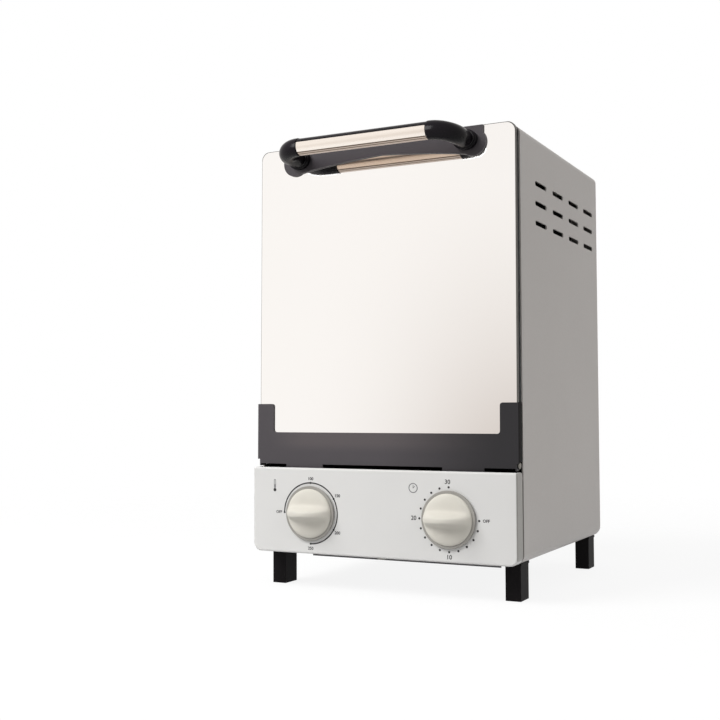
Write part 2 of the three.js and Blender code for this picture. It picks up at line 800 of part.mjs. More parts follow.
function terminalTabs(x, back, spread) {
  return [-1, 1].map((sign) => {
    const centre = x + sign * spread;
    return block([centre - tabBreadth / 2, back - wall, dialHeight - tabSheet / 2],
      [centre + tabBreadth / 2, back + tabLength, dialHeight + tabSheet / 2]);
  });
}

function makeControls() {
  const front = wall;
  const seat = front + wall;
  const thermostatBack = seat + thermostatDepth;
  const half = thermostatSize / 2;
  const thermostat = joined([
    block([-knobX - bridgeLength / 2, front, dialHeight - bridgeHeight / 2],
      [-knobX + bridgeLength / 2, seat, dialHeight + bridgeHeight / 2]),
    block([-knobX - half, seat, dialHeight - half], [-knobX + half, thermostatBack, dialHeight + half]),
    ...terminalTabs(-knobX, thermostatBack, half / 2),
  ]);
  const bore = (x) => rod('y', [x, front, dialHeight], shaftRadius + seatGap, -overrun,
    shaftTail + seatGap + wall, roundSides);
  place(cabinet, 'thermostat', thermostat.subtract(bore(-knobX)), 'ceramic');
  makeShaft('thermostat_shaft', -knobX, front);

  const timerBack = seat + timerDepth;
  const timer = joined([
    block([knobX - bridgeTimer / 2, front, dialHeight - bridgeHeight / 2],
      [knobX + bridgeTimer / 2, seat, dialHeight + bridgeHeight / 2]),
    rod('y', [knobX, 0, dialHeight], timerRadius, seat, timerBack, roundSides),
    rod('y', [knobX, 0, dialHeight], bellPost, timerBack - wall, timerBack + bellGap + bellDepth
      + bellPostEnd, smallSides),
    ...terminalTabs(knobX, timerBack, timerRadius * timerTabShare),
  ]);
  place(cabinet, 'timer', timer.subtract(bore(knobX)), 'galvanised');
  makeShaft('timer_shaft', knobX, front);
  const bellFoot = timerBack + bellGap;
  const cupBore = bellPost + seatGap;
  place(cabinet, 'timer_bell', turned([[cupBore, bellFoot + bellDepth - wall],
    [bellRadius * bellInnerShare, bellFoot + bellDepth - wall * bellCrownShare],
    [bellRadius - wall, bellFoot], [bellRadius, bellFoot],
    [bellRadius * bellOuterShare, bellFoot + bellDepth - wall / 2],
    [cupBore, bellFoot + bellDepth], [cupBore, bellFoot + bellDepth - wall]], 'y',
  [knobX, 0, dialHeight], roundSides), 'brass');
}

// The sensor bulb lies inside the chamber, and its capillary runs outside it to the thermostat.
function makeSensor() {
  const bulbX = -halfChamber + bulbWallGap;
  const bulb = rod('y', [bulbX, 0, bulbHeight], bulbRadius, bulbStart, bulbStart + bulbLength);
  const portX = -halfChamber - wall;
  const entryX = -knobX - thermostatSize / 4;
  const entryY = wall * 2 + thermostatDepth + seatGap;
  const entryZ = dialHeight + thermostatSize / 4;
  const inside = tubeThrough([
    [bulbX, bulbStart + bulbRadius, bulbHeight],
    [bulbX, bulbStart - bulbRadius, bulbHeight],
    [(bulbX + portX) / 2, capillaryPort + bulbRadius, bulbHeight],
    [-halfChamber, capillaryPort, bulbHeight],
    [portX - bulbRadius, capillaryPort, bulbHeight],
    [-capillaryReach, capillaryPort, bulbHeight - bulbWallGap],
    [-capillaryReach, capillaryPort, chamberBottom],
    [-capillaryReach + bulbWallGap, capillaryPort, (chamberBottom + entryZ) / 2],
    [entryX - bulbWallGap, entryY + bulbWallGap, entryZ + bulbWallGap],
    [entryX, entryY + bulbRadius * 2, entryZ],
    [entryX, entryY, entryZ],
  ], capillaryRadius, leadSides, capillarySteps);
  place(cabinet, 'sensor_bulb', bulb.add(inside), 'brass');
  const middle = bulbStart + bulbLength / 2;
  const loop = alongY(roundedRectangle(bulbX - bulbRadius - seatGap - clipSheet,
    bulbHeight - bulbRadius - seatGap - clipSheet, bulbX + bulbRadius + seatGap + clipSheet,
    bulbHeight + bulbRadius + seatGap + clipSheet, Array(4).fill(bulbRadius)), middle, middle + clipWidth);
  const strap = block([-halfChamber + seatGap, middle, bulbHeight - clipSheet],
    [bulbX, middle + clipWidth, bulbHeight + clipSheet]);
  const bore = rod('y', [bulbX, 0, bulbHeight], bulbRadius + seatGap, middle - overrun,
    middle + clipWidth + overrun);
  place(cabinet, 'sensor_clip', loop.add(strap).subtract(bore), 'steel');
}

function makeWiring() {
  const low = [blockPlaceX - blockLength / 2, blockPlaceY - blockDepth / 2, plateFloor];
  const high = [blockPlaceX + blockLength / 2, blockPlaceY + blockDepth / 2, plateFloor + blockHeight];
  const ways = [];
  const pitch = blockLength / blockWays;
  for (let i = 1; i < blockWays; i += 1) {
    const x = low[0] + i * pitch;
    ways.push(block([x - blockNotch / 2, low[1] - overrun, high[2] - blockNotch],
      [x + blockNotch / 2, high[1] + overrun, high[2] + overrun]));
  }
  place(cabinet, 'terminal_block', cutBy(block(low, high), ways), 'ceramic');

  const tabEnd = wall * 2 + tabLength + seatGap;
  const timerEnd = tabEnd + timerDepth;
  const thermostatEnd = tabEnd + thermostatDepth;
  const timerTab = timerRadius * timerTabShare;
  const thermostatTab = thermostatSize / 4;
  const blockFace = low[1] - seatGap;
  const blockWire = plateFloor + blockHeight / 2;
  const studX = heaterReach + studLength / 2;
  const [bottom, top] = heaterLevels();
  const underStud = bottom.z - studRadius - seatGap;
  const straight = leadRadius * leadStraightShare;
  const lead = (name, points) => place(cabinet, name,
    tubeThrough(points, leadRadius, leadSides, points.length * leadStepsPerPoint), 'lead');
  const blockLead = blockPlaceX + pitch;
  lead('lead_supply', [
    [blockLead, blockFace, blockWire],
    [blockLead, blockFace - straight, blockWire],
    [blockLead + straight, (blockFace + timerEnd) / 2, plateFloor + straight],
    [knobX + timerTab, timerEnd + straight * 2, dialHeight - straight],
    [knobX + timerTab, timerEnd + straight, dialHeight],
    [knobX + timerTab, timerEnd, dialHeight],
  ]);
  lead('lead_timer_to_thermostat', [
    [knobX - timerTab, timerEnd, dialHeight],
    [knobX - timerTab, timerEnd + straight, dialHeight],
    [knobX / 2, timerEnd + straight * 3, dialHeight - straight],
    [-knobX / 2, timerEnd + straight * 2, dialHeight - straight],
    [-knobX + thermostatTab, thermostatEnd + straight, dialHeight],
    [-knobX + thermostatTab, thermostatEnd, dialHeight],
  ]);
  lead('lead_heater_feed', [
    [-knobX - thermostatTab, thermostatEnd, dialHeight],
    [-knobX - thermostatTab, thermostatEnd + straight, dialHeight],
    [-knobX, thermostatEnd + straight * 3, dialHeight + straight],
    [0, heaterFrontPlace + straight * 3, dialHeight + straight * 2],
    [studX - straight * 2, heaterFrontPlace + straight, dialHeight + straight * 2],
    [studX, heaterFrontPlace, underStud - straight * 3],
    [studX, heaterFrontPlace, underStud],
  ]);
  const returnLead = blockPlaceX - pitch;
  lead('lead_heater_return', [
    [studX, heaterRearPlace, underStud],
    [studX, heaterRearPlace, underStud - straight * 2],
    [studX - straight * 2, heaterRearPlace - straight, dialHeight + straight],
    [blockPlaceX, blockFace - straight * 3, dialHeight + straight],
    [returnLead, blockFace - straight * 2, blockWire + straight],
    [returnLead, blockFace - straight, blockWire],
    [returnLead, blockFace, blockWire],
  ]);
  const reach = studRadius + seatGap;
  for (const [endName, y] of heaterEnds) {
    place(cabinet, `heater_link_${endName}`, rod('z', [studX, y, 0], leadRadius, bottom.z + reach,
      top.z - reach, leadSides), 'lead');
  }
}

// The knob's face, as a height over its skirt: a low dome with a fin across it.
function knobHeight(x, z) {
  const reach = Math.min(1, Math.hypot(x, z) / knobRadius);
  const dome = knobDome * Math.sqrt(Math.max(0, 1 - reach ** knobBlendPower));
  const along = Math.sqrt(Math.max(0, 1 - reach ** knobFinPower));
  const fin = (knobFin * along) / (1 + (z / knobFinWidth) ** knobFinPower);
  return (dome ** knobBlendPower + fin ** knobBlendPower) ** (1 / knobBlendPower);
}

function knobSolid() {
  const skirtFace = -knobStand - knobSkirt;
  const skirtRadius = knobRadius + knobSkirtRim;
  const positions = [];
  const faces = [];
  const ring = (radius, depthAt) => {
    for (let j = 0; j < knobSides; j += 1) {
      const turn = (j / knobSides) * 2 * Math.PI;
      const x = radius * Math.cos(turn);
      const z = radius * Math.sin(turn);
      positions.push(x, depthAt(x, z), z);
    }
  };
  positions.push(0, skirtFace - knobHeight(0, 0), 0);
  for (let i = 1; i <= knobRings; i += 1) {
    ring(knobRadius * Math.sin((i / knobRings) * (Math.PI / 2)), (x, z) => skirtFace - knobHeight(x, z));
  }
  ring(skirtRadius, () => skirtFace);
  ring(skirtRadius, () => -knobStand);
  positions.push(0, -knobStand, 0);
  const last = positions.length / 3 - 1;
  const rows = knobRings + 2;
  for (let j = 0; j < knobSides; j += 1) {
    const next = (j + 1) % knobSides;
    faces.push(0, 1 + j, 1 + next);
    for (let i = 0; i < rows - 1; i += 1) {
      const here = 1 + i * knobSides;
      const there = here + knobSides;
      faces.push(here + j, there + j, there + next, here + j, there + next, here + next);
    }
    const back = 1 + (rows - 1) * knobSides;
    faces.push(last, back + next, back + j);
  }
  const geometry = new THREE.BufferGeometry();
  geometry.setAttribute('position', new THREE.Float32BufferAttribute(positions, 3));
  geometry.setIndex(faces);
  const bore = rod('y', [0, 0, 0], shaftRadius + seatGap, -shaftReach - seatGap, overrun, roundSides);
  return solidOf(geometry).subtract(bore);
}

function makeKnobs() {
  for (const [name, x] of [['temperature_knob', -knobX], ['timer_knob', knobX]]) {
    const knob = place(cabinet, name, knobSolid(), 'knob');
    knob.position.set(x, 0, dialHeight);
  }
}

function makePane() {
  const side = paneWidth / 2;
  const sheet = alongY(roundedRectangle(-side, paneBottom, side, paneTop,
    [wall, wall, paneCorner, paneCorner]), paneFront, paneFront + paneThickness);
  const holes = [-1, 1].map((sign) => rod('y', [sign * barHalfSpan, paneFront, legHeight],
    handleScrewRadius + seatGap, -overrun, paneThickness + overrun));
  place(door, 'door_pane', cutBy(sheet, holes), 'mirror');
}

function makeBracket() {
  const half = bracketWidth / 2;
  const inner = half - bracketStep;
  const armInner = half - bracketArmWidth;
  const stepTop = bracketBottom + bracketStepHeight;
  const returnLow = hingeHeight + pinHeadRadius + pinHeadClearance;
  const tabFoot = bracketBottom - tabDrop;
  const earBottom = hingeHeight - bracketEarDrop;
  const tabOuter = tabInner + tabWidth;
  const c = bracketCorner;
  const shape = new THREE.Shape();
  shape.moveTo(-inner, bracketBottom);
  for (const [from, to] of [[-tabOuter, -tabInner], [tabInner, tabOuter]]) {
    shape.lineTo(from, bracketBottom);
    shape.lineTo(from, tabFoot);
    shape.lineTo(to, tabFoot);
    shape.lineTo(to, bracketBottom);
  }
  shape.lineTo(inner, bracketBottom);
  shape.lineTo(inner, stepTop);
  shape.lineTo(half, stepTop);
  shape.lineTo(half, bracketArmTop);
  shape.lineTo(armInner + c, bracketArmTop);
  shape.absarc(armInner + c, bracketArmTop - c, c, Math.PI / 2, Math.PI);
  shape.lineTo(armInner, bracketBand + c);
  shape.absarc(armInner - c, bracketBand + c, c, 0, -Math.PI / 2, true);
  shape.lineTo(-armInner + c, bracketBand);
  shape.absarc(-armInner + c, bracketBand + c, c, -Math.PI / 2, -Math.PI, true);
  shape.lineTo(-armInner, bracketArmTop - c);
  shape.absarc(-armInner - c, bracketArmTop - c, c, 0, Math.PI / 2);
  shape.lineTo(-half, bracketArmTop);
  shape.lineTo(-half, stepTop);
  shape.lineTo(-inner, stepTop);
  shape.closePath();
  const front = paneFront - seatGap - wall;
  const back = paneFront + paneThickness + seatGap + wall;
  const webLow = paneBottom - seatGap - wall;
  const pieces = [
    alongY(shape, front, front + wall, slotSteps),
    block([-half, front, webLow], [half, back, webLow + wall]),
    block([-half, back - wall, webLow], [half, back, paneBottom + bracketBackLip]),
  ];
  const bores = [];
  for (const sign of [-1, 1]) {
    const outer = sign * half;
    const returnInner = sign * (half - wall);
    pieces.push(block([Math.min(outer, returnInner), front, returnLow],
      [Math.max(outer, returnInner), back, bracketArmTop]));
    const from = sign > 0 ? inner - wall : -inner;
    const ear = roundedRectangle(front, earBottom, hingeDepth + bracketEarDepth,
      webLow + wall / 2, [0, bracketEarDepth, 0, 0]);
    pieces.push(alongX(ear, from, from + wall));
    bores.push(rod('x', [from, hingeDepth, hingeHeight], pinRadius + pinClearance, -overrun, overrun));
  }
  place(door, 'door_bracket', cutBy(joined(pieces), bores), 'darkBracket');
}

const plateFront = paneFront - seatGap - plateThickness;

function makeBackingPlate() {
  const meet = Math.acos((plateHalfTop - lobeReach) / lobeRadius);
  const leave = lobeLeaveTurn;
  const shape = new THREE.Shape();
  shape.moveTo(-plateHalfTop, plateTop);
  shape.absarc(-lobeReach, lobeHeight, lobeRadius, Math.PI - meet, Math.PI + leave);
  const endX = lobeReach - lobeRadius * Math.cos(Math.PI - leave);
  const endZ = lobeHeight - lobeRadius * Math.sin(leave);
  const easeX = endX * archEaseShare;
  const easeZ = endZ + (plateArch - endZ) * archEaseShare;
  shape.quadraticCurveTo(-easeX, easeZ, 0, plateArch);
  shape.quadraticCurveTo(easeX, easeZ, endX, endZ);
  shape.absarc(lobeReach, lobeHeight, lobeRadius, -leave, meet);
  shape.lineTo(plateHalfTop, plateTop);
  shape.closePath();
  const holes = [-1, 1].map((sign) => rod('y', [sign * barHalfSpan, plateFront, legHeight],
    handleScrewRadius + seatGap, -overrun, plateThickness + overrun));
  place(door, 'handle_backing_plate',
    cutBy(alongY(shape, plateFront, plateFront + plateThickness, plateSteps), holes), 'darkBracket');
}

function makeHandle() {
  const footBack = plateFront - seatGap;
  const footMiddle = footBack - footRise;
  const footFront = footMiddle - footStep;
  const barCentre = paneFront - barStand + elbowTube;
  const legEnd = footFront - seatGap;
  const half = trimLength / 2;
  const sleeveStart = half + seatGap;
  const coreShape = new THREE.Shape();
  const openTurn = THREE.MathUtils.degToRad(trimTopAngle);
  coreShape.absarc(barCentre, barHeight, trimRadius, openTurn, Math.PI - openTurn);
  coreShape.absarc(barCentre, barHeight, coreRadius, Math.PI - openTurn, 2 * Math.PI + openTurn);
  coreShape.closePath();
  const gripPieces = [alongX(coreShape, -sleeveStart, sleeveStart, barSteps)];
  for (const [sign, name] of [[-1, 'left'], [1, 'right']]) {
    const legX = sign * barHalfSpan;
    const bendStart = new THREE.Vector3(legX, barCentre + elbowRadius, legHeight);
    const bendEnd = new THREE.Vector3(legX - sign * elbowRadius, barCentre, barHeight);
    const ease = elbowRadius * roundEaseShare;
    const path = new THREE.CurvePath();
    path.add(new THREE.LineCurve3(new THREE.Vector3(legX, legEnd, legHeight), bendStart));
    path.add(new THREE.CubicBezierCurve3(bendStart,
      new THREE.Vector3(legX, bendStart.y - ease, legHeight),
      new THREE.Vector3(bendEnd.x + sign * ease, barCentre, barHeight), bendEnd));
    path.add(new THREE.LineCurve3(bendEnd, new THREE.Vector3(sign * sleeveStart, barCentre, barHeight)));
    gripPieces.push(tubeAlong(path, elbowTube, barSides, elbowSteps));
    const oval = (width, tall) => {
      const shape = new THREE.Shape();
      shape.absellipse(legX, legHeight, width / 2, tall / 2, 0, 2 * Math.PI);
      return shape;
    };
    const bore = rod('y', [legX, 0, legHeight], handleScrewRadius + seatGap, legEnd - screwLength,
      footBack + overrun);
    gripPieces[gripPieces.length - 1] = gripPieces[gripPieces.length - 1].subtract(bore);
    const foot = alongY(oval(footWidth, footTall), footMiddle, footBack, ovalSteps)
      .add(alongY(oval(footWidth - footStep, footTall - footStep), footFront, footMiddle, ovalSteps));
    place(door, `handle_foot_${name}`, foot.subtract(bore), 'blackPlastic');
    const seat = paneFront + paneThickness + seatGap;
    place(door, `handle_screw_${name}`, turned([[0, legEnd - screwLength + seatGap],
      [handleScrewRadius, legEnd - screwLength + seatGap], [handleScrewRadius, seat],
      [screwHeadRadius, seat], [screwHeadRadius, seat + handleScrewHead / 2],
      [screwHeadRadius / 2, seat + handleScrewHead], [0, seat + handleScrewHead]], 'y',
    [legX, 0, legHeight]), 'steel');
  }
  place(door, 'handle_grip', joined(gripPieces), 'blackPlastic');
  const trim = new THREE.Shape();
  const low = openTurn - THREE.MathUtils.degToRad(trimTurnGap);
  trim.absarc(barCentre, barHeight, trimRadius, Math.PI - low, 2 * Math.PI + low);
  trim.absarc(barCentre, barHeight, coreRadius + seatGap, 2 * Math.PI + low, Math.PI - low, true);
  trim.closePath();
  place(door, 'handle_trim', alongX(trim, -half, half, barSteps), 'champagne');
}

makeShell();
makeRearPanel();
makeBasePlate();
makeFeet();
makeControlPanel();
makeFrontFrame();
makeHingePins();
makeChamber();
makeHeaters();
makeTrays();
makeControls();
makeSensor();
makeWiring();
makeKnobs();
makePane();
makeBracket();
makeBackingPlate();
makeHandle();

// The shut door leans back on its hinge until the pane rests against the shell's top front edge.
const leanBack = Math.asin((shellFront - shellRestGap - paneFront - paneThickness)
  / (cabinetHeight - hingeHeight));
door.position.set(0, -hingeDepth, -hingeHeight);
const hinged = new THREE.Group();
hinged.add(door);
hinged.position.set(0, hingeDepth, hingeHeight);
hinged.rotation.x = -leanBack;
cabinet.add(hinged);

const foremost = hingeDepth + (paneFront - barStand - hingeDepth) * Math.cos(leanBack)
  + (barHeight - hingeHeight) * Math.sin(leanBack);
const rearmost = rearFace + glandReach;
const sterilizer = new THREE.Group();
cabinet.position.y = -(foremost + rearmost) / 2;
sterilizer.add(cabinet);

export default sterilizer;
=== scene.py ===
import json
import math

import bmesh
import bpy
from mathutils import Matrix, Vector


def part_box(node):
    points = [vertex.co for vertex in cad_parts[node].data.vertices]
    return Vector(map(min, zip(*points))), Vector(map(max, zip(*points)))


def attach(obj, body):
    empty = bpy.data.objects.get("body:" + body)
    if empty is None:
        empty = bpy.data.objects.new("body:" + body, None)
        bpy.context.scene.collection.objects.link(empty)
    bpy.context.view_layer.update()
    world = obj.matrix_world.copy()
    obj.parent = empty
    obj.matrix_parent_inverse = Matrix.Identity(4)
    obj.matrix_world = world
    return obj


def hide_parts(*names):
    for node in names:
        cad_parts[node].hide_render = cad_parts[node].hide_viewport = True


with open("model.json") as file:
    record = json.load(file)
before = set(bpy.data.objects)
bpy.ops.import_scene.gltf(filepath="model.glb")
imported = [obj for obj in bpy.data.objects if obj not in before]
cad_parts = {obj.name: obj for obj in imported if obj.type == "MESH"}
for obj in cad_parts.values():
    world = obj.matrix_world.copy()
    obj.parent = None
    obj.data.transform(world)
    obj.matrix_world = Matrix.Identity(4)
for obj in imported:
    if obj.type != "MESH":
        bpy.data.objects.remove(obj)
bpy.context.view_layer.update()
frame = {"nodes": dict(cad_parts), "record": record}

scene = bpy.context.scene
scene.view_settings.view_transform = "Standard"

# Sizes below are millimetres from the front face of the control panel, the middle of the
# cabinet and the bench. These two placements bring a mesh drawn that way into the part's frame.
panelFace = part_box("control_panel")[0].y
cabinetPlace = Matrix.Translation((0, panelFace, 0)) @ Matrix.Scale(0.001, 4)
hinge = {"depth": 9.5, "height": 94.2, "lean": 0.009754}
hingePoint = Vector((0, hinge["depth"], hinge["height"]))
doorPlace = (cabinetPlace @ Matrix.Translation(hingePoint)
             @ Matrix.Rotation(-hinge["lean"], 4, "X") @ Matrix.Translation(-hingePoint))
dials = {"height": 56.4, "places": {"temperature_knob": -55.2, "timer_knob": 55.2}}
smoothAngle = math.radians(32)
print("frame loaded, panel face at", round(panelFace, 5))


# Finishes, where places are metres in the part's frame
edgeSoftness = 0.0002


def srgb(tone):
    lit = []
    for value in tone:
        part = value / 255
        lit.append(part / 12.92 if part <= 0.04045 else ((part + 0.055) / 1.055) ** 2.4)
    return (*lit, 1.0)


def addNode(tree, kind, values=None):
    node = tree.nodes.new(kind)
    for label, value in (values or {}).items():
        node.inputs[label].default_value = value
    return node


def startFinish(name, roughness=0.5, metallic=0.0, extras=None):
    material = bpy.data.materials.new(name)
    material.use_nodes = True
    tree = material.node_tree
    shader = tree.nodes["Principled BSDF"]
    for label, value in {"Roughness": roughness, "Metallic": metallic, **(extras or {})}.items():
        shader.inputs[label].default_value = value
    where = tree.nodes.new("ShaderNodeTexCoord").outputs["Object"]
    return material, tree, shader, where


def noiseField(tree, where, scale, stretch=(1, 1, 1), detail=3.0):
    mapping = addNode(tree, "ShaderNodeMapping", {"Scale": [scale * part for part in stretch]})
    noise = addNode(tree, "ShaderNodeTexNoise", {"Scale": 1.0, "Detail": detail})
    tree.links.new(where, mapping.inputs["Vector"])
    tree.links.new(mapping.outputs["Vector"], noise.inputs["Vector"])
    return noise.outputs["Fac"]


# Runs a value from low to high while the field runs between its own two limits.
def spread(tree, field, low, high, fieldLow=0.3, fieldHigh=0.7):
    node = addNode(tree, "ShaderNodeMapRange", {"From Min": fieldLow, "From Max": fieldHigh,
                                                "To Min": low, "To Max": high})
    tree.links.new(field, node.inputs["Value"])
    return node.outputs["Result"]


def tintBetween(tree, field, first, second):
    node = tree.nodes.new("ShaderNodeMix")
    node.data_type = "RGBA"
    node.inputs[6].default_value = srgb(first)  # the two colour sockets of this node
    node.inputs[7].default_value = srgb(second)
    tree.links.new(field, node.inputs[0])
    return node.outputs[2]


def roughen(tree, shader, field, strength, depth):
    node = addNode(tree, "ShaderNodeBump", {"Strength": strength, "Distance": depth})
    tree.links.new(field, node.inputs["Height"])
    tree.links.new(node.outputs["Normal"], shader.inputs["Normal"])


def combined(tree, operation, first, second):
    node = tree.nodes.new("ShaderNodeMath")
    node.operation = operation
    tree.links.new(first, node.inputs[0])
    if isinstance(second, float):
        node.inputs[1].default_value = second
    else:
        tree.links.new(second, node.inputs[1])
    return node.outputs[0]


paintCoat = {"clouds": 9, "detail": 2.0, "smoother": 0.06, "rougher": 0.08, "depth": 0.0002,
             "gloss": 0.15, "glossRoughness": 0.3}
plasticSkin = {"clouds": 60, "detail": 4.0, "smoother": 0.05, "rougher": 0.07, "depth": 0.0001}
metalGrain = {"detail": 4.0, "smoother": 0.08, "rougher": 0.1, "depth": 0.00005}
mirrorCoat = {"clouds": 4, "smears": 14, "smearStretch": (1, 1, 2.5), "detail": 5.0,
              "smooth": 0.012, "rough": 0.05}


# Clouded colour under a fine grain, for paint and for moulded plastic.
def clouded(name, pale, deep, roughness, grain, strength, kind, extras):
    material, tree, shader, where = startFinish(name, extras=extras)
    clouds = spread(tree, noiseField(tree, where, kind["clouds"]), 0, 1)
    tree.links.new(tintBetween(tree, clouds, pale, deep), shader.inputs["Base Color"])
    fine = noiseField(tree, where, grain, detail=kind["detail"])
    tree.links.new(spread(tree, fine, roughness - kind["smoother"], roughness + kind["rougher"]),
                   shader.inputs["Roughness"])
    roughen(tree, shader, fine, strength, kind["depth"])
    return material


def paintedSheet(name, pale, deep, roughness, grain, strength):
    return clouded(name, pale, deep, roughness, grain, strength, paintCoat,
                   {"Coat Weight": paintCoat["gloss"], "Coat Roughness": paintCoat["glossRoughness"]})


def mouldedPlastic(name, pale, deep, roughness, grain, strength, shine=0.5):
    return clouded(name, pale, deep, roughness, grain, strength, plasticSkin,
                   {"Specular IOR Level": shine})


def mirrorFace(name, pale, deep):
    m = mirrorCoat
    material, tree, shader, where = startFinish(name, metallic=1.0)
    clouds = spread(tree, noiseField(tree, where, m["clouds"]), 0, 1)
    tree.links.new(tintBetween(tree, clouds, pale, deep), shader.inputs["Base Color"])
    smears = noiseField(tree, where, m["smears"], m["smearStretch"], m["detail"])
    tree.links.new(spread(tree, smears, m["smooth"], m["rough"]), shader.inputs["Roughness"])
    return material


def grainedMetal(name, pale, deep, roughness, stretch, strength):
    m = metalGrain
    material, tree, shader, where = startFinish(name, metallic=1.0)
    grain = noiseField(tree, where, 1, stretch, m["detail"])
    tree.links.new(tintBetween(tree, spread(tree, grain, 0, 1), pale, deep),
                   shader.inputs["Base Color"])
    tree.links.new(spread(tree, grain, roughness - m["smoother"], roughness + m["rougher"]),
                   shader.inputs["Roughness"])
    roughen(tree, shader, grain, strength, m["depth"])
    return material


def spangledZinc(name, pale, deep, cellScale=130, smooth=0.32, rough=0.52):
    material, tree, shader, where = startFinish(name, metallic=1.0)
    cells = addNode(tree, "ShaderNodeTexVoronoi", {"Scale": cellScale})
    plate = tree.nodes.new("ShaderNodeSeparateColor")
    tree.links.new(where, cells.inputs["Vector"])
    tree.links.new(cells.outputs["Color"], plate.inputs["Color"])
    tree.links.new(tintBetween(tree, plate.outputs["Red"], pale, deep),
                   shader.inputs["Base Color"])
    tree.links.new(spread(tree, plate.outputs["Green"], smooth, rough, 0, 1),
                   shader.inputs["Roughness"])
    return material


def wovenSleeve(name, pale, deep, weaveScale=1600, roughness=0.75, strength=0.3, depth=0.0002):
    material, tree, shader, where = startFinish(name, roughness)
    weave = addNode(tree, "ShaderNodeTexChecker", {"Scale": weaveScale, "Color1": srgb(pale),
                                                   "Color2": srgb(deep)})
    tree.links.new(where, weave.inputs["Vector"])
    tree.links.new(weave.outputs["Color"], shader.inputs["Base Color"])
    roughen(tree, shader, weave.outputs["Fac"], strength, depth)
    return material


def axisOf(material, axis):
    tree = material.node_tree
    parts = tree.nodes.new("ShaderNodeSeparateXYZ")
    tree.links.new(tree.nodes["Texture Coordinate"].outputs["Object"], parts.inputs["Vector"])
    return parts.outputs[axis]


# A share that changes from low to high where the field passes one value.
def stepShare(tree, field, edge, low=0, high=1):
    return spread(tree, field, low, high, edge - edgeSoftness, edge + edgeSoftness)


# A share that is one beyond a given distance to either side of the middle.
def besideShare(material, side):
    tree = material.node_tree
    return stepShare(tree, combined(tree, "ABSOLUTE", axisOf(material, "X"), 0.0), side)


# A share that runs smoothly from nought to one between two places on one axis.
def driftShare(material, axis, start, end):
    share = spread(material.node_tree, axisOf(material, axis), 0, 1, start, end)
    share.node.interpolation_type = "SMOOTHSTEP"
    return share


# Lays one tone over a finish, as far as a share says.
def covered(material, share, tone):
    tree = material.node_tree
    colour = tree.nodes["Principled BSDF"].inputs["Base Color"]
    tint = tintBetween(tree, share, tone, tone)
    tree.links.new(colour.links[0].from_socket, tint.node.inputs[6])
    tree.links.new(tint, colour)
    return material


# Runs one setting of a finish by a share. A setting that stays even keeps its own value.
def driven(material, share, label, bare, full):
    if bare != full:
        tree = material.node_tree
        tree.links.new(spread(tree, share, bare, full, 0, 1),
                       tree.nodes["Principled BSDF"].inputs[label])


# The same paint with painted shade on the folded sides: a darker tone and less shine.
def sideShadePainted(material, side, tone, shine=0.5):
    beside = besideShare(material, side)
    covered(material, beside, tone)
    driven(material, beside, "Specular IOR Level", 0.5, shine)
    driven(material, beside, "Coat Weight", paintCoat["gloss"], paintCoat["gloss"] * shine)
    return material


# Painted shade: turns a metal nearly black and dull, as far as a share says.
def shadePaintedBlack(material, share, tone, roughness, dull, shine):
    covered(material, share, tone)
    driven(material, share, "Metallic", 1, 0)
    driven(material, share, "Roughness", roughness, dull)
    driven(material, share, "Specular IOR Level", 0.5, shine)
    return material


zincSheet = {"pale": (178, 184, 186), "deep": (158, 164, 168)}
# Where painted shade turns the frame and the liner nearly black.
paintedShadeLimits = {"frameTop": 0.0965, "chamberSide": 0.0885, "chamberTop": 0.317}
brushedSheet = {"pale": (214, 214, 214), "deep": (196, 197, 198), "roughness": 0.3,
                "stretch": (60, 1800, 1800), "strength": 0.15}
# The bracket's dark paint. Its crown tone is a painted highlight, and its side and right tones are
# painted shade.
bracket = {"pale": (66, 62, 66), "deep": (61, 57, 61), "side": 0.1045, "sideShadeTone": (10, 9, 10),
           "sideShine": 0.02, "crown": (80, 74, 76), "crownLow": 0.1, "crownHigh": 0.11,
           "crownLeft": -0.1, "crownRight": -0.06, "right": (4, 2, 10), "rightStart": -0.01,
           "rightEnd": 0.095}
# The strip's rear and low tones are painted shade.
strip = {"pale": (254, 247, 239), "deep": (249, 240, 231), "rear": (213, 192, 173),
         "rearReach": 0.0015, "low": (194, 180, 169), "lowStart": 0.0017, "lowEnd": 0.0011}


# Zinc coated sheet with painted shade, nearly black below the foot of the door.
def frameZinc():
    material = spangledZinc("galvanised frame", **zincSheet)
    below = stepShare(material.node_tree, axisOf(material, "Z"), paintedShadeLimits["frameTop"], 1, 0)
    return shadePaintedBlack(material, below, (12, 12, 12), roughness=0.45, dull=0.95, shine=0.02)


# Steel sheet with painted shade, nearly black where it faces away from the chamber.
def chamberSteel():
    material = grainedMetal("chamber steel", **brushedSheet)
    tree = material.node_tree
    above = stepShare(tree, axisOf(material, "Z"), paintedShadeLimits["chamberTop"])
    beside = besideShare(material, paintedShadeLimits["chamberSide"])
    outside = combined(tree, "MAXIMUM", beside, above)
    return shadePaintedBlack(material, outside, (14, 14, 14), roughness=0.32, dull=0.9, shine=0.05)


def darkPaint(name):
    return paintedSheet(name, bracket["pale"], bracket["deep"], roughness=0.45, grain=1500,
                        strength=0.06)


# Painted shade: the dark paint turns nearly black on the folded sides.
def withDarkSideShade(material):
    return sideShadePainted(material, bracket["side"], bracket["sideShadeTone"], bracket["sideShine"])


# Bracket paint with a painted highlight along the top of its middle and painted shade towards its
# right end.
def bracketPaint():
    b = bracket
    material = darkPaint("door bracket paint")
    rise = driftShare(material, "Z", b["crownLow"], b["crownHigh"])
    fromLeft = driftShare(material, "X", b["crownLeft"], b["crownRight"])
    covered(material, combined(material.node_tree, "MULTIPLY", rise, fromLeft), b["crown"])
    covered(material, driftShare(material, "X", b["rightStart"], b["rightEnd"]), b["right"])
    return withDarkSideShade(material)


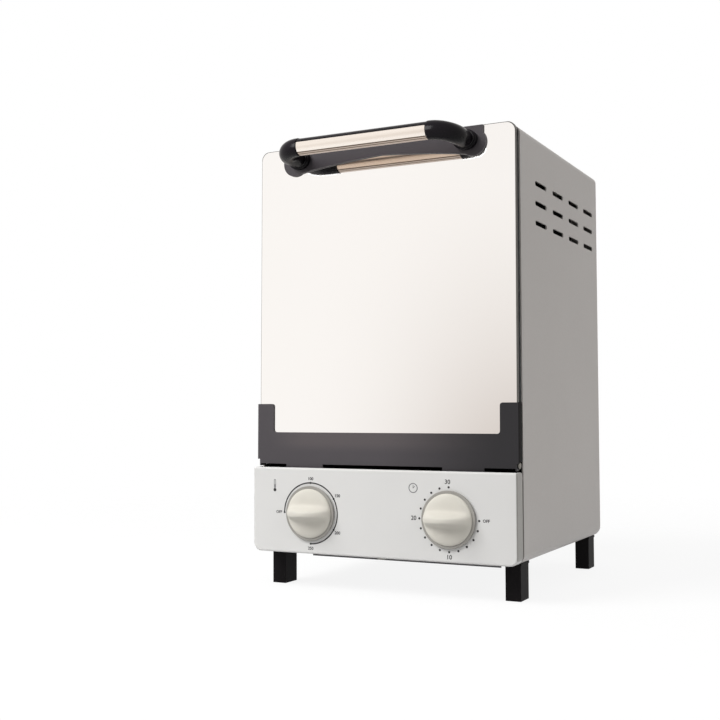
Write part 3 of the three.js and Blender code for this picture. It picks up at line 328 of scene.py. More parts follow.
# Champagne strip: ivory in front, with painted shade, browner, behind the bar and under its first
# groove.
def champagneStrip():
    s = strip
    material = grainedMetal("champagne strip", s["pale"], s["deep"], roughness=0.3,
                            stretch=(6, 900, 900), strength=0.01)
    low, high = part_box("handle_trim")
    middle = (low.y + high.y) / 2
    covered(material, driftShare(material, "Y", middle - s["rearReach"], middle + s["rearReach"]),
            s["rear"])
    return covered(material, driftShare(material, "Z", low.z + s["lowStart"], low.z + s["lowEnd"]),
                   s["low"])


# The first fourteen are the record's slots, and the others are for single pieces.
finishes = {
    "shell_paint": paintedSheet("shell paint", (184, 179, 175), (180, 175, 171), roughness=0.42,
                                grain=1100, strength=0.1),
    # Panel paint with painted shade on its folded sides.
    "panel_paint": sideShadePainted(paintedSheet("panel paint", (221, 220, 218), (218, 217, 215),
                                          roughness=0.4, grain=1300, strength=0.05),
                             side=0.1043, tone=(155, 153, 148)),
    "door_mirror": mirrorFace("door mirror", (252, 251, 250), (250, 249, 248)),
    # Dark paint with painted shade on its folded sides.
    "dark_paint": withDarkSideShade(darkPaint("bracket paint")),
    "black_plastic": mouldedPlastic("handle black", (17, 14, 18), (13, 11, 14), roughness=0.2,
                                    grain=1800, strength=0.02, shine=0.1),
    "champagne_metal": champagneStrip(),
    "knob_plastic": mouldedPlastic("knob cream", (215, 211, 201), (210, 206, 196), roughness=0.4,
                                   grain=1500, strength=0.03, shine=0.35),
    "foot_plastic": mouldedPlastic("foot black", (24, 22, 23), (20, 18, 19), roughness=0.55,
                                   grain=1400, strength=0.06, shine=0.06),
    "stainless": grainedMetal("brushed stainless", **brushedSheet),
    "galvanised": spangledZinc("galvanised sheet", **zincSheet),
    "zinc_steel": grainedMetal("zinc plated steel", (216, 217, 214), (198, 200, 198),
                               roughness=0.22, stretch=(500, 500, 500), strength=0.08),
    "white_ceramic": mouldedPlastic("white ceramic", (240, 236, 226), (230, 225, 214),
                                    roughness=0.6, grain=900, strength=0.25),
    "brass": grainedMetal("plain brass", (206, 172, 108), (188, 152, 90), roughness=0.3,
                          stretch=(400, 400, 400), strength=0.1),
    "lead_sleeve": wovenSleeve("glass fibre sleeve", (222, 214, 198), (188, 178, 160)),
    "dial_ink": mouldedPlastic("dial ink", (40, 38, 40), (34, 32, 34), roughness=0.6, grain=1500,
                               strength=0.05),
    "dial_ink_grey": mouldedPlastic("dial ink grey", (118, 118, 120), (108, 108, 110),
                                    roughness=0.6, grain=1500, strength=0.05),
    "knob_skirt": mouldedPlastic("knob skirt grey", (160, 157, 151), (152, 149, 143),
                                 roughness=0.35, grain=1500, strength=0.03),
    "groove_shade": mouldedPlastic("groove shade", (128, 108, 92), (118, 98, 82), roughness=0.6,
                                   grain=1500, strength=0.02),
    "ground_edge": mouldedPlastic("ground glass edge", (98, 96, 92), (86, 84, 80), roughness=0.35,
                                  grain=900, strength=0.1),
    "mirror_backing": paintedSheet("mirror backing paint", (150, 149, 147), (145, 144, 142),
                                   roughness=0.5, grain=900, strength=0.06),
    "pin_steel": grainedMetal("dull pin steel", (132, 130, 124), (112, 110, 105), roughness=0.45,
                              stretch=(500, 500, 500), strength=0.08),
    "frame_zinc": frameZinc(),
    "chamber_steel": chamberSteel(),
    "bracket_paint": bracketPaint(),
}
print("finishes made:", len(finishes))


# Shape helpers
def onCircle(centre, radius, angle):
    turn = math.radians(angle)
    return centre[0] + radius * math.cos(turn), centre[1] + radius * math.sin(turn)


def arc(centre, radius, start, end, steps):
    return [onCircle(centre, radius, start + (end - start) * i / steps) for i in range(steps + 1)]


def circle(radius, sides=24, centre=(0, 0)):
    return arc(centre, radius, 0, 360 - 360 / sides, sides - 1)


# Insets and depths along a quarter bend, from the flat to the wall.
def bendSteps(bend, steps):
    turns = [math.radians(90 * i / steps) for i in range(steps + 1)]
    return [(bend * (1 - math.sin(t)), bend * (1 - math.cos(t))) for t in turns]


# A point on the smooth curve that a row of points pulls along.
def pulled(points, share):
    while len(points) > 1:
        points = [here.lerp(ahead, share) for here, ahead in zip(points, points[1:])]
    return points[0]


# The corner radii go round from the lower left.
def roundedOutline(left, low, right, high, radii, steps=8):
    lowLeft, lowRight, highRight, highLeft = radii
    return (arc((left + lowLeft, low + lowLeft), lowLeft, 180, 270, steps)
            + arc((right - lowRight, low + lowRight), lowRight, 270, 360, steps)
            + arc((right - highRight, high - highRight), highRight, 0, 90, steps)
            + arc((left + highLeft, high - highLeft), highLeft, 90, 180, steps))


def atDepth(outline, depth):
    return [(a, depth, b) for a, b in outline]


def atHeight(outline, height):
    return [(a, b, height) for a, b in outline]


def atSide(outline, side):
    return [(side, a, b) for a, b in outline]


# Joins rings of points with quads, closing both ends where asked.
def loft(rings, capped=True):
    shape = bmesh.new()
    rows = [[shape.verts.new(point) for point in ring] for ring in rings]
    for first, second in zip(rows, rows[1:]):
        for j, here in enumerate(first):
            k = (j + 1) % len(first)
            shape.faces.new((here, second[j], second[k], first[k]))
    if capped:
        shape.faces.new(rows[0])
        shape.faces.new(list(reversed(rows[-1])))
        bmesh.ops.recalc_face_normals(shape, faces=shape.faces)
    return shape


# Joins rings into a skin that is closed at its first ring and open at its last.
def cupped(rings):
    skin = loft(rings, capped=False)
    skin.verts.ensure_lookup_table()
    skin.faces.new(skin.verts[:len(rings[0])])
    return skin


# Takes away the faces of a skin whose middles pass a test.
def opened(skin, test):
    gone = [face for face in skin.faces if test(face.calc_center_median())]
    bmesh.ops.delete(skin, geom=gone, context="FACES")


def prism(outline, start, end, laid=atDepth):
    return loft([laid(outline, start), laid(outline, end)])


def meshOf(shape, name):
    mesh = bpy.data.meshes.new(name)
    shape.to_mesh(mesh)
    shape.free()
    return mesh


def scratchObject(mesh):
    made = bpy.data.objects.new(mesh.name, mesh)
    scene.collection.objects.link(made)
    return made


def evaluatedMesh(made):
    bpy.context.view_layer.update()
    seen = made.evaluated_get(bpy.context.evaluated_depsgraph_get())
    return bpy.data.meshes.new_from_object(seen)


def dropScratch(*objects):
    for made in objects:
        bpy.data.objects.remove(made, do_unlink=True)


# A copy of a mesh after one modifier.
def withSettings(mesh, kind, **settings):
    made = scratchObject(mesh)
    modifier = made.modifiers.new(kind.lower(), kind)
    for label, value in settings.items():
        setattr(modifier, label, value)
    result = evaluatedMesh(made)
    dropScratch(made)
    return result


def thickened(mesh, thickness):
    return withSettings(mesh, "SOLIDIFY", thickness=thickness, offset=-1.0, use_even_offset=True)


def softEdges(mesh, width, segments=2, angle=35):
    return withSettings(mesh, "BEVEL", width=width, segments=segments, limit_method="ANGLE",
                        angle_limit=math.radians(angle), harden_normals=False,
                        use_clamp_overlap=True)


# Joins other meshes to the first one, or takes them out of it.
def joined(first, others, operation="UNION"):
    whole = scratchObject(first)
    parts = [scratchObject(mesh) for mesh in others]
    for part in parts:
        modifier = whole.modifiers.new(operation.lower(), "BOOLEAN")
        modifier.operation = operation
        modifier.solver = "EXACT"
        modifier.object = part
    result = evaluatedMesh(whole)
    dropScratch(whole, *parts)
    return result


# One mesh out of several that stay separate shells.
def gathered(meshes, name):
    whole = bmesh.new()
    for mesh in meshes:
        whole.from_mesh(mesh)
        bpy.data.meshes.remove(mesh)
    return meshOf(whole, name)


def makePiece(name, mesh, place, body, slotName, replaced=(), finish=None):
    mesh.transform(place)
    mesh.materials.clear()
    mesh.materials.append(finishes[finish or slotName])
    mesh.name = name
    mesh.polygons.foreach_set("material_index", [0] * len(mesh.polygons))
    mesh.polygons.foreach_set("use_smooth", [True] * len(mesh.polygons))
    mesh.set_sharp_from_angle(angle=smoothAngle)
    mesh = withSettings(mesh, "WEIGHTED_NORMAL", keep_sharp=True, weight=100)
    made = scratchObject(mesh)
    made.name = name
    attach(made, body)
    if replaced:
        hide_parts(*replaced)


# Node trees
def startTree(name, inputs):
    tree = bpy.data.node_groups.new(name, "GeometryNodeTree")
    tree.interface.new_socket("Geometry", in_out="INPUT", socket_type="NodeSocketGeometry")
    for label, kind in inputs:
        tree.interface.new_socket(label, in_out="INPUT", socket_type="NodeSocket" + kind)
    tree.interface.new_socket("Geometry", in_out="OUTPUT", socket_type="NodeSocketGeometry")
    return tree, tree.nodes.new("NodeGroupInput"), tree.nodes.new("NodeGroupOutput")


# Links an output of one node to an input of another, as often as asked.
def chain(tree, *links):
    for source, output, target, label in links:
        tree.links.new(source.outputs[output], target.inputs[label])


# Sets copies of a given object on the points that one node puts out.
def setOnPoints(tree, into, label, source, output):
    shape = tree.nodes.new("GeometryNodeObjectInfo")
    placed = tree.nodes.new("GeometryNodeInstanceOnPoints")
    chain(tree, (into, label, shape, "Object"), (shape, "Geometry", placed, "Instance"),
          (source, output, placed, "Points"))
    return placed


def endTree(tree, into, out, last, output):
    real = tree.nodes.new("GeometryNodeRealizeInstances")
    coat = tree.nodes.new("GeometryNodeSetMaterial")
    chain(tree, (last, output, real, "Geometry"), (real, "Geometry", coat, "Geometry"),
          (into, "Finish", coat, "Material"), (coat, "Geometry", out, "Geometry"))
    return tree


# The plain mesh that a tree makes from a mesh and named values.
def grownFrom(mesh, tree, values):
    made = scratchObject(mesh)
    modifier = made.modifiers.new(tree.name, "NODES")
    modifier.node_group = tree
    for item in tree.interface.items_tree:
        if item.in_out == "INPUT" and item.name in values:
            modifier[item.identifier] = values[item.name]
    result = evaluatedMesh(made)
    made.modifiers.remove(modifier)
    dropScratch(made)
    return result


# Cuts rows and columns of one slot shape out of a sheet.
def slotRowsTree():
    tree, into, out = startTree("slot rows", [
        ("Columns", "Int"), ("Rows", "Int"), ("Column Run", "Float"), ("Row Run", "Float"),
        ("Turn", "Vector"), ("Middle", "Vector"), ("Cutter", "Object"), ("Finish", "Material")])
    grid = tree.nodes.new("GeometryNodeMeshGrid")
    moved = tree.nodes.new("GeometryNodeTransform")
    real = tree.nodes.new("GeometryNodeRealizeInstances")
    cut = tree.nodes.new("GeometryNodeMeshBoolean")
    cut.operation = "DIFFERENCE"
    cut.solver = "EXACT"
    chain(tree, (into, "Columns", grid, "Vertices X"), (into, "Rows", grid, "Vertices Y"),
          (into, "Column Run", grid, "Size X"), (into, "Row Run", grid, "Size Y"),
          (grid, "Mesh", moved, "Geometry"), (into, "Turn", moved, "Rotation"),
          (into, "Middle", moved, "Translation"))
    placed = setOnPoints(tree, into, "Cutter", moved, "Geometry")
    chain(tree, (placed, "Instances", real, "Geometry"), (into, "Geometry", cut, "Mesh 1"),
          (real, "Geometry", cut, "Mesh 2"))
    return endTree(tree, into, out, cut, "Mesh")


# Sets one shape on every point of the mesh that it is given.
def fastenersTree():
    tree, into, out = startTree("fasteners on points", [
        ("Fastener", "Object"), ("Size", "Float"), ("Finish", "Material")])
    placed = setOnPoints(tree, into, "Fastener", into, "Geometry")
    chain(tree, (into, "Size", placed, "Scale"))
    return endTree(tree, into, out, placed, "Instances")


# Sets dots at even steps along an arc that stands upright.
def dotArcTree():
    tree, into, out = startTree("dots on an arc", [
        ("Count", "Int"), ("Arc Radius", "Float"), ("Start", "Float"), ("Sweep", "Float"),
        ("Middle", "Vector"), ("Dot", "Object"), ("Finish", "Material")])
    line = tree.nodes.new("GeometryNodeCurveArc")
    points = tree.nodes.new("GeometryNodeCurveToMesh")
    moved = addNode(tree, "GeometryNodeTransform", {"Rotation": (math.pi / 2, 0, 0)})
    chain(tree, (into, "Count", line, "Resolution"), (into, "Arc Radius", line, "Radius"),
          (into, "Start", line, "Start Angle"), (into, "Sweep", line, "Sweep Angle"),
          (line, "Curve", points, "Curve"), (points, "Mesh", moved, "Geometry"),
          (into, "Middle", moved, "Translation"))
    placed = setOnPoints(tree, into, "Dot", moved, "Geometry")
    return endTree(tree, into, out, placed, "Instances")


# Winds a wire into a coil that lies along X.
def coilTree():
    tree, into, out = startTree("spring coil", [
        ("Turns", "Float"), ("Coil Radius", "Float"), ("Coil Length", "Float"),
        ("Wire Radius", "Float"), ("Middle", "Vector"), ("Finish", "Material")])
    line = addNode(tree, "GeometryNodeCurveSpiral", {"Resolution": 28})
    wire = addNode(tree, "GeometryNodeCurvePrimitiveCircle", {"Resolution": 10})
    swept = addNode(tree, "GeometryNodeCurveToMesh", {"Fill Caps": True})
    moved = addNode(tree, "GeometryNodeTransform", {"Rotation": (0, math.pi / 2, 0)})
    chain(tree, (into, "Turns", line, "Rotations"), (into, "Coil Radius", line, "Start Radius"),
          (into, "Coil Radius", line, "End Radius"), (into, "Coil Length", line, "Height"),
          (into, "Wire Radius", wire, "Radius"), (line, "Curve", swept, "Curve"),
          (wire, "Curve", swept, "Profile Curve"), (swept, "Mesh", moved, "Geometry"),
          (into, "Middle", moved, "Translation"))
    return endTree(tree, into, out, moved, "Geometry")


slotRows = slotRowsTree()
fastenersOnPoints = fastenersTree()
dotsOnArc = dotArcTree()
springCoil = coilTree()


# Cuts slots in so many columns and rows, at the two pitches, round a middle.
def cutSlots(mesh, cutterShape, counts, pitches, middle, turn, slotName):
    cutter = scratchObject(meshOf(cutterShape, "slot cutter"))
    across, upward = [float(pitch * (count - 1)) for pitch, count in zip(pitches, counts)]
    result = grownFrom(mesh, slotRows, {
        "Columns": counts[0], "Rows": counts[1], "Column Run": across, "Row Run": upward,
        "Turn": turn, "Middle": middle, "Cutter": cutter, "Finish": finishes[slotName]})
    dropScratch(cutter)
    return result


def slotOutline(wide, tall):
    return roundedOutline(-wide / 2, -tall / 2, wide / 2, tall / 2, (min(wide, tall) / 2,) * 4)


flatTurn = (0.0, 0.0, 0.0)
frontTurn = (math.pi / 2, 0.0, 0.0)
sideTurn = (math.pi / 2, 0.0, math.pi / 2)
cutOverrun = 3

# Outer shell: one folded sheet, open in front and under the base plate
shell = {"width": 210, "front": 13.4, "back": 216, "low": 26.5, "top": 330, "wall": 1,
         "topBend": 5, "bottomBend": 6.5, "rearBend": 5.5, "rearBottomBend": 8, "floorFlange": 14,
         "rearFlange": 13, "ventLength": 26.6, "ventHeight": 3.5, "ventFirst": 59.3,
         "ventPitch": 41.7, "ventColumns": 4, "ventTop": 295.4, "ventRowPitch": 14.35,
         "ventRows": 3, "leastLow": 2.0, "leastHigh": 1.5, "flangeCorner": 0.6, "steps": 8}


# How far a bend towards the back has drawn a wall in at one depth.
def drawnIn(depth, radius, back):
    reach = max(0.0, depth - (back - radius))
    return radius - math.sqrt(max(0.0, radius ** 2 - min(reach, radius) ** 2))


# One outline of the shell, with two points where its floor is split.
def shellRing(side, low, high, lowRadius, highRadius, depth):
    split = shell["width"] / 2 - shell["floorFlange"]
    steps = shell["steps"]
    outline = ([(-split, low), (split, low)]
               + arc((side - lowRadius, low + lowRadius), lowRadius, 270, 360, steps)
               + arc((side - highRadius, high - highRadius), highRadius, 0, 90, steps)
               + arc((-side + highRadius, high - highRadius), highRadius, 90, 180, steps)
               + arc((-side + lowRadius, low + lowRadius), lowRadius, 180, 270, steps))
    return atDepth(outline, depth)


def shellMesh():
    s = shell
    half = s["width"] / 2
    flange = s["rearFlange"]
    windowEnd = s["back"] - s["floorFlange"]
    bendDepths = [s["back"] - bend[0] for bend in bendSteps(s["rearBottomBend"], s["steps"])]
    rings = []
    for depth in [s["front"], windowEnd] + bendDepths:
        inset = drawnIn(depth, s["rearBend"], s["back"])
        lift = drawnIn(depth, s["rearBottomBend"], s["back"])
        rings.append(shellRing(half - inset, s["low"] + lift, s["top"] - inset,
                               max(s["leastLow"], s["bottomBend"] - inset),
                               max(s["leastHigh"], s["topBend"] - inset), depth))
    rings.append(shellRing(half - flange, s["low"] + flange, s["top"] - flange, s["flangeCorner"],
                           s["flangeCorner"], s["back"]))
    skin = loft(rings, capped=False)
    opened(skin, lambda at: abs(at.x) < 1 and at.y < windowEnd and at.z < s["low"] + 1)
    return thickened(meshOf(skin, "shell skin"), s["wall"])


def makeShell():
    s = shell
    reach = s["width"] / 2 + cutOverrun
    cutter = prism(slotOutline(s["ventLength"], s["ventHeight"]), -reach, reach, atSide)
    middle = (0.0, s["ventFirst"] + s["ventPitch"] * (s["ventColumns"] - 1) / 2,
              s["ventTop"] - s["ventRowPitch"] * (s["ventRows"] - 1) / 2)
    mesh = cutSlots(shellMesh(), cutter, (s["ventColumns"], s["ventRows"]),
                    (s["ventPitch"], s["ventRowPitch"]), middle, sideTurn, "shell_paint")
    makePiece("shell_sheet", mesh, cabinetPlace, "cabinet", "shell_paint", ["outer_shell"])


makeShell()
print("outer shell made")

# Rear panel with its vent slots and cord hole
rearPanel = {"side": 99, "low": 32.5, "high": 324, "corner": 5, "front": 216, "back": 217,
             "ventLength": 34, "ventHeight": 3.5, "columns": 3, "rows": 4, "pitch": 46,
             "rowPitch": 11, "top": 296, "glandX": 68, "glandZ": 52, "glandHole": 6.3,
             "edge": 0.2}


def makeRearPanel():
    r = rearPanel
    start, end = r["front"] - cutOverrun, r["back"] + cutOverrun
    sheet = prism(roundedOutline(-r["side"], r["low"], r["side"], r["high"], (r["corner"],) * 4),
                  r["front"], r["back"])
    mesh = softEdges(meshOf(sheet, "rear sheet"), r["edge"])
    slot = prism(slotOutline(r["ventLength"], r["ventHeight"]), start, end)
    middle = (0.0, 0.0, r["top"] - r["rowPitch"] * (r["rows"] - 1) / 2)
    mesh = cutSlots(mesh, slot, (r["columns"], r["rows"]), (r["pitch"], r["rowPitch"]), middle,
                    frontTurn, "shell_paint")
    hole = prism(circle(r["glandHole"]), start, end)
    mesh = cutSlots(mesh, hole, (1, 1), (0, 0), (r["glandX"], 0.0, r["glandZ"]), frontTurn,
                    "shell_paint")
    makePiece("rear_sheet", mesh, cabinetPlace, "cabinet", "shell_paint", ["rear_panel"])


makeRearPanel()

# Control panel: a shallow pressed tray with a short lip along its top
panel = {"width": 210, "low": 26.5, "top": 89.7, "depth": 10.8, "corner": 6, "bend": 1.4,
         "topCorner": 0.2, "lip": 3, "wall": 1, "steps": 6, "shaftHole": 4}


def makeControlPanel():
    p = panel
    half = p["width"] / 2
    rings = []
    for inset, depth in bendSteps(p["bend"], p["steps"]) + [(0, p["lip"]), (0, p["depth"])]:
        low, high = p["corner"] - inset, p["bend"] - inset + p["topCorner"]
        outline = roundedOutline(-half + inset, p["low"] + inset, half - inset, p["top"] - inset,
                                 (low, low, high, high), p["steps"])
        rings.append(atDepth(outline, depth))
    skin = cupped(rings)
    opened(skin, lambda at: at.z > p["top"] - 0.1 and at.y > p["lip"] + 1 and abs(at.x) < 1)
    mesh = thickened(meshOf(skin, "panel skin"), p["wall"])
    left, right = dials["places"].values()
    hole = prism(circle(p["shaftHole"]), -cutOverrun, p["wall"] + cutOverrun)
    mesh = cutSlots(mesh, hole, (2, 1), (right - left, 0), (0.0, 0.0, dials["height"]), frontTurn,
                    "panel_paint")
    makePiece("control_panel_sheet", mesh, cabinetPlace, "cabinet", "panel_paint",
              ["control_panel"])


makeControlPanel()
print("rear and control panels made")


# Copies of solids whose own form is right, with their edges eased
easing = {"merge": 0.002, "flatAngle": 2}


def easedCopy(node, name, body, slotName, width, segments=2, finish=None):
    shape = bmesh.new()
    shape.from_mesh(frame["nodes"][node].data)
    bmesh.ops.transform(shape, matrix=cabinetPlace.inverted(), verts=shape.verts)
    bmesh.ops.remove_doubles(shape, verts=shape.verts, dist=easing["merge"])
    bmesh.ops.dissolve_limit(shape, angle_limit=math.radians(easing["flatAngle"]),
                             verts=shape.verts, edges=shape.edges)
    mesh = softEdges(meshOf(shape, name), width, segments)
    makePiece(name, mesh, cabinetPlace, body, slotName, [node], finish)


# Each has its node, name, body, slot, edge width, edge segments and any finish of its own.
eased = [
    ("door_bracket", "bracket_channel", "door", "dark_paint", 0.4, 3, "bracket_paint"),
    *[("foot_" + corner, "foot_post_" + corner, "cabinet", "foot_plastic", 0.7, 3)
      for corner in ("front_left", "front_right", "rear_left", "rear_right")],
    ("front_frame", "frame_sheet", "cabinet", "galvanised", 0.2, 2, "frame_zinc"),
    ("chamber_liner", "chamber_sheet", "cabinet", "stainless", 0.2, 2, "chamber_steel"),
    ("terminal_block", "terminal_strip", "cabinet", "white_ceramic", 0.5),
    ("thermostat", "thermostat_body", "cabinet", "white_ceramic", 0.4),
    ("cord_gland", "gland_bush", "cabinet", "black_plastic", 0.4),
]
for entry in eased:
    easedCopy(*entry)
print("eased copies made:", len(eased))

# Door pane: a thick plate with a ground edge, and its mirror face a little smaller
pane = {"side": 103.5, "low": 98.8, "high": 332.7, "corner": 6.5, "foot": 1, "front": 6.8,
        "back": 10.8, "edge": 0.5, "margin": 0.6, "sink": 0.15, "backing": 0.15, "steps": 12}


def paneSheet(margin, start, end):
    p = pane
    outline = roundedOutline(-p["side"] + margin, p["low"] + margin, p["side"] - margin,
                             p["high"] - margin, (p["foot"], p["foot"], p["corner"], p["corner"]),
                             p["steps"])
    return meshOf(prism(outline, start, end), "pane")


def makePane():
    p = pane
    glass = paneSheet(0, p["front"] + p["sink"], p["back"] - p["backing"])
    makePiece("pane_glass", softEdges(glass, p["edge"]), doorPlace, "door", "door_mirror",
              finish="ground_edge")
    face = paneSheet(p["margin"], p["front"], p["front"] + p["sink"] + p["edge"])
    makePiece("mirror_pane", face, doorPlace, "door", "door_mirror", ["door_pane"])
    backing = paneSheet(p["margin"], p["back"] - p["backing"] - p["edge"], p["back"])
    makePiece("pane_backing", backing, doorPlace, "door", "door_mirror", finish="mirror_backing")


makePane()

# Handle: plate, stepped feet, tube with fat elbows, ribbed core and a metal sleeve under it
handle = {"height": 324.3, "centre": -24.4, "legX": 67.5, "legHeight": 322.3, "legEnd": -0.9,
          "elbow": 15, "tube": 6.7, "sleeve": 6.2, "core": 5.2, "half": 51, "gap": 0.3,
          "lap": 2, "ribAngle": 28, "rootLength": 0.6, "rootTaper": 0.5, "tipLength": 0.1,
          "tipTaper": (0.1, 0.6), "bendSteps": 20, "ribSteps": 16, "coreSteps": 24, "sides": 28,
          "roundPull": 0.5523}
handlePlate = {"front": 4.9, "back": 6.5, "top": 332.3, "half": 80, "lobe": 9.8, "lobeReach": 72.5,
               "lobeHeight": 320.6, "arch": 319.3, "leave": 2.18, "ease": 0.63, "edge": 0.35,
               "edgeAngle": 50, "archSteps": 16, "lobeSteps": 24}
handleFoot = {"width": 18, "tall": 14.5, "back": 4.6, "rise": 3.5, "step": 2, "sides": 48}
sleeve = {"grooves": (-52, -70, -110, -128), "depth": 0.45, "half": 6, "lineHalf": 4.4,
          "lineTopShare": 0.45, "lineFoot": 0.1, "lineEnd": 0.2, "cover": 4, "steps": 180,
          "innerSteps": 40, "lineSteps": 4, "edge": 0.15, "edgeAngle": 60}


def makeHandlePlate():
    p = handlePlate
    meet = math.degrees(math.acos((p["half"] - p["lobeReach"]) / p["lobe"]))
    lobe = arc((p["lobeReach"], p["lobeHeight"]), p["lobe"], -math.degrees(p["leave"]), meet,
               p["lobeSteps"])
    end = Vector(lobe[0])
    ease = Vector((end.x * p["ease"], end.y + (p["arch"] - end.y) * p["ease"]))
    crown = Vector((0, p["arch"]))
    curve = [pulled([crown, ease, end], i / p["archSteps"]) for i in range(p["archSteps"])]
    half = [(at.x, at.y) for at in curve] + lobe + [(p["half"], p["top"])]
    outline = half + [(-a, b) for a, b in reversed(half)][:-1]
    mesh = softEdges(meshOf(prism(outline, p["front"], p["back"]), "plate"), p["edge"], 2,
                     p["edgeAngle"])
    makePiece("handle_plate", mesh, doorPlace, "door", "dark_paint", ["handle_backing_plate"])


# Each foot has a broad flange against the plate and a narrower collar for the tube.
def makeHandleFeet():
    f = handleFoot
    middle = f["back"] - f["rise"]
    front = middle - f["step"]
    profile = ((0.4, f["back"]), (0, f["back"] - 0.4), (0, middle + 0.8), (0.25, middle + 0.25),
               (0.9, middle), (1.0, middle - 0.1), (1.0, front + 0.7), (1.3, front + 0.2),
               (1.9, front))
    for sign, name in ((-1, "left"), (1, "right")):
        rings = []
        for inset, depth in profile:
            outline = [(sign * handle["legX"] + (f["width"] / 2 - inset) * a,
                        handle["legHeight"] + (f["tall"] / 2 - inset) * b)
                       for a, b in circle(1, f["sides"])]
            rings.append(atDepth(outline, depth))
        makePiece("handle_base_" + name, meshOf(loft(rings), "foot"), doorPlace, "door",
                  "black_plastic", ["handle_foot_" + name])


# A tube along points that stay nearly level.
def tubeMesh(points, radii, sides):
    rings = []
    for i, point in enumerate(points):
        along = (points[min(i + 1, len(points) - 1)] - points[max(i - 1, 0)]).normalized()
        across = along.cross(Vector((0, 0, 1))).normalized()
        rise = across.cross(along).normalized()
        rings.append([point + (across * a + rise * b) * radii[i] for a, b in circle(1, sides)])
    return meshOf(loft(rings), "tube")


# One end of the grip: a leg out of its foot, an elbow, and a tip round the ribbed core.
def gripEnd(sign):
    h = handle
    leg = Vector((sign * h["legX"], h["legEnd"], h["legHeight"]))
    first = Vector((sign * h["legX"], h["centre"] + h["elbow"], h["legHeight"]))
    last = Vector((sign * (h["legX"] - h["elbow"]), h["centre"], h["height"]))
    tip = Vector((sign * (h["half"] + h["gap"]), h["centre"], h["height"]))
    pull = h["elbow"] * h["roundPull"]
    guides = [first, first - Vector((0, pull, 0)), last + Vector((sign * pull, 0, 0)), last]
    elbow = [pulled(guides, i / h["bendSteps"]) for i in range(h["bendSteps"] + 1)]
    points = [leg, leg - Vector((0, h["rootLength"], 0)), leg.lerp(first, 0.5), *elbow,
              last.lerp(tip, 0.5), tip + Vector((sign * h["tipLength"], 0, 0)), tip]
    radii = [h["tube"]] * len(points)
    radii[0] -= h["rootTaper"]
    radii[-2] -= h["tipTaper"][0]
    radii[-1] -= h["tipTaper"][1]
    return tubeMesh(points, radii, h["sides"])


def makeGrip():
    h = handle
    centre = (h["centre"], h["height"])
    reach = h["half"] + h["gap"] + h["lap"]
    start, end = h["ribAngle"], 180 - h["ribAngle"]
    profile = (arc(centre, h["sleeve"], start, end, h["ribSteps"])
               + arc(centre, h["core"], end, 360 + start, h["coreSteps"]))
    core = meshOf(prism(profile, -reach, reach, atSide), "core")
    mesh = joined(core, [gripEnd(-1), gripEnd(1)])
    makePiece("grip_bar", mesh, doorPlace, "door", "black_plastic", ["handle_grip"])


# How deep the nearest groove is at an angle round the sleeve.
def grooveDepth(angle):
    near = min(abs(angle - 360 - groove) for groove in sleeve["grooves"])
    return sleeve["depth"] * math.cos(math.radians(min(near / sleeve["half"], 1) * 90))


def makeSleeve():
    h, s = handle, sleeve
    centre = (h["centre"], h["height"])
    low = h["ribAngle"] - s["cover"]
    angles = [180 - low + (180 + 2 * low) * i / s["steps"] for i in range(s["steps"] + 1)]
    outer = [onCircle(centre, h["sleeve"] - grooveDepth(angle), angle) for angle in angles]
    inner = arc(centre, h["core"] + h["gap"], 360 + low, 180 - low, s["innerSteps"])
    mesh = softEdges(meshOf(prism(outer + inner, -h["half"], h["half"], atSide), "sleeve"),
                     s["edge"], 2, s["edgeAngle"])
    makePiece("grip_sleeve", mesh, doorPlace, "door", "champagne_metal", ["handle_trim"])
    reach = h["half"] - s["lineEnd"]
    top = h["sleeve"] - s["depth"] * s["lineTopShare"]
    foot = h["sleeve"] - s["depth"] - s["lineFoot"]
    lines = []
    for groove in s["grooves"]:
        start, end = groove - s["lineHalf"], groove + s["lineHalf"]
        outline = (arc(centre, top, start, end, s["lineSteps"])
                   + arc(centre, foot, end, start, s["lineSteps"]))
        lines.append(meshOf(prism(outline, -reach, reach, atSide), "line"))
    makePiece("grip_groove_lines", gathered(lines, "lines"), doorPlace, "door", "champagne_metal",
              finish="groove_shade")


makeHandlePlate()
makeHandleFeet()
makeGrip()
makeSleeve()
print("door and handle made")

# Knobs: a low dome with a fin across it, over a thin skirt
knob = {"radius": 18.1, "stand": 0.6, "skirt": 1.6, "rim": 2.1, "dome": 3, "domePower": 3,
        "fin": 12.4, "finWidth": 4.4, "finTaper": 0.75, "power": 4, "blend": 2.5, "pointer": 0.6,
        "pointerWidth": 2.6, "wall": 0.2, "draft": 0.4, "rings": 40, "sides": 144,
        "skirtSides": 72}
knobFace = -knob["stand"] - knob["skirt"]


def knobRise(x, z):
    k = knob
    reach = min(1.0, math.hypot(x, z) / k["radius"])
    dome = k["dome"] * math.sqrt(max(0.0, 1 - reach ** k["domePower"]))
    along = max(0.0, 1 - reach ** 2) ** k["finTaper"]
    fin = k["fin"] * along / (1 + abs(z / k["finWidth"]) ** k["power"])
    return (dome ** k["blend"] + fin ** k["blend"]) ** (1 / k["blend"])


# Rings of the cap reach out to a short pointer on the left.
def knobPoint(a, b, depth):
    k = knob
    share = max(0.0, -a / k["radius"]) ** 2
    return a - k["pointer"] * share * math.exp(-(b / k["pointerWidth"]) ** 2), depth, b


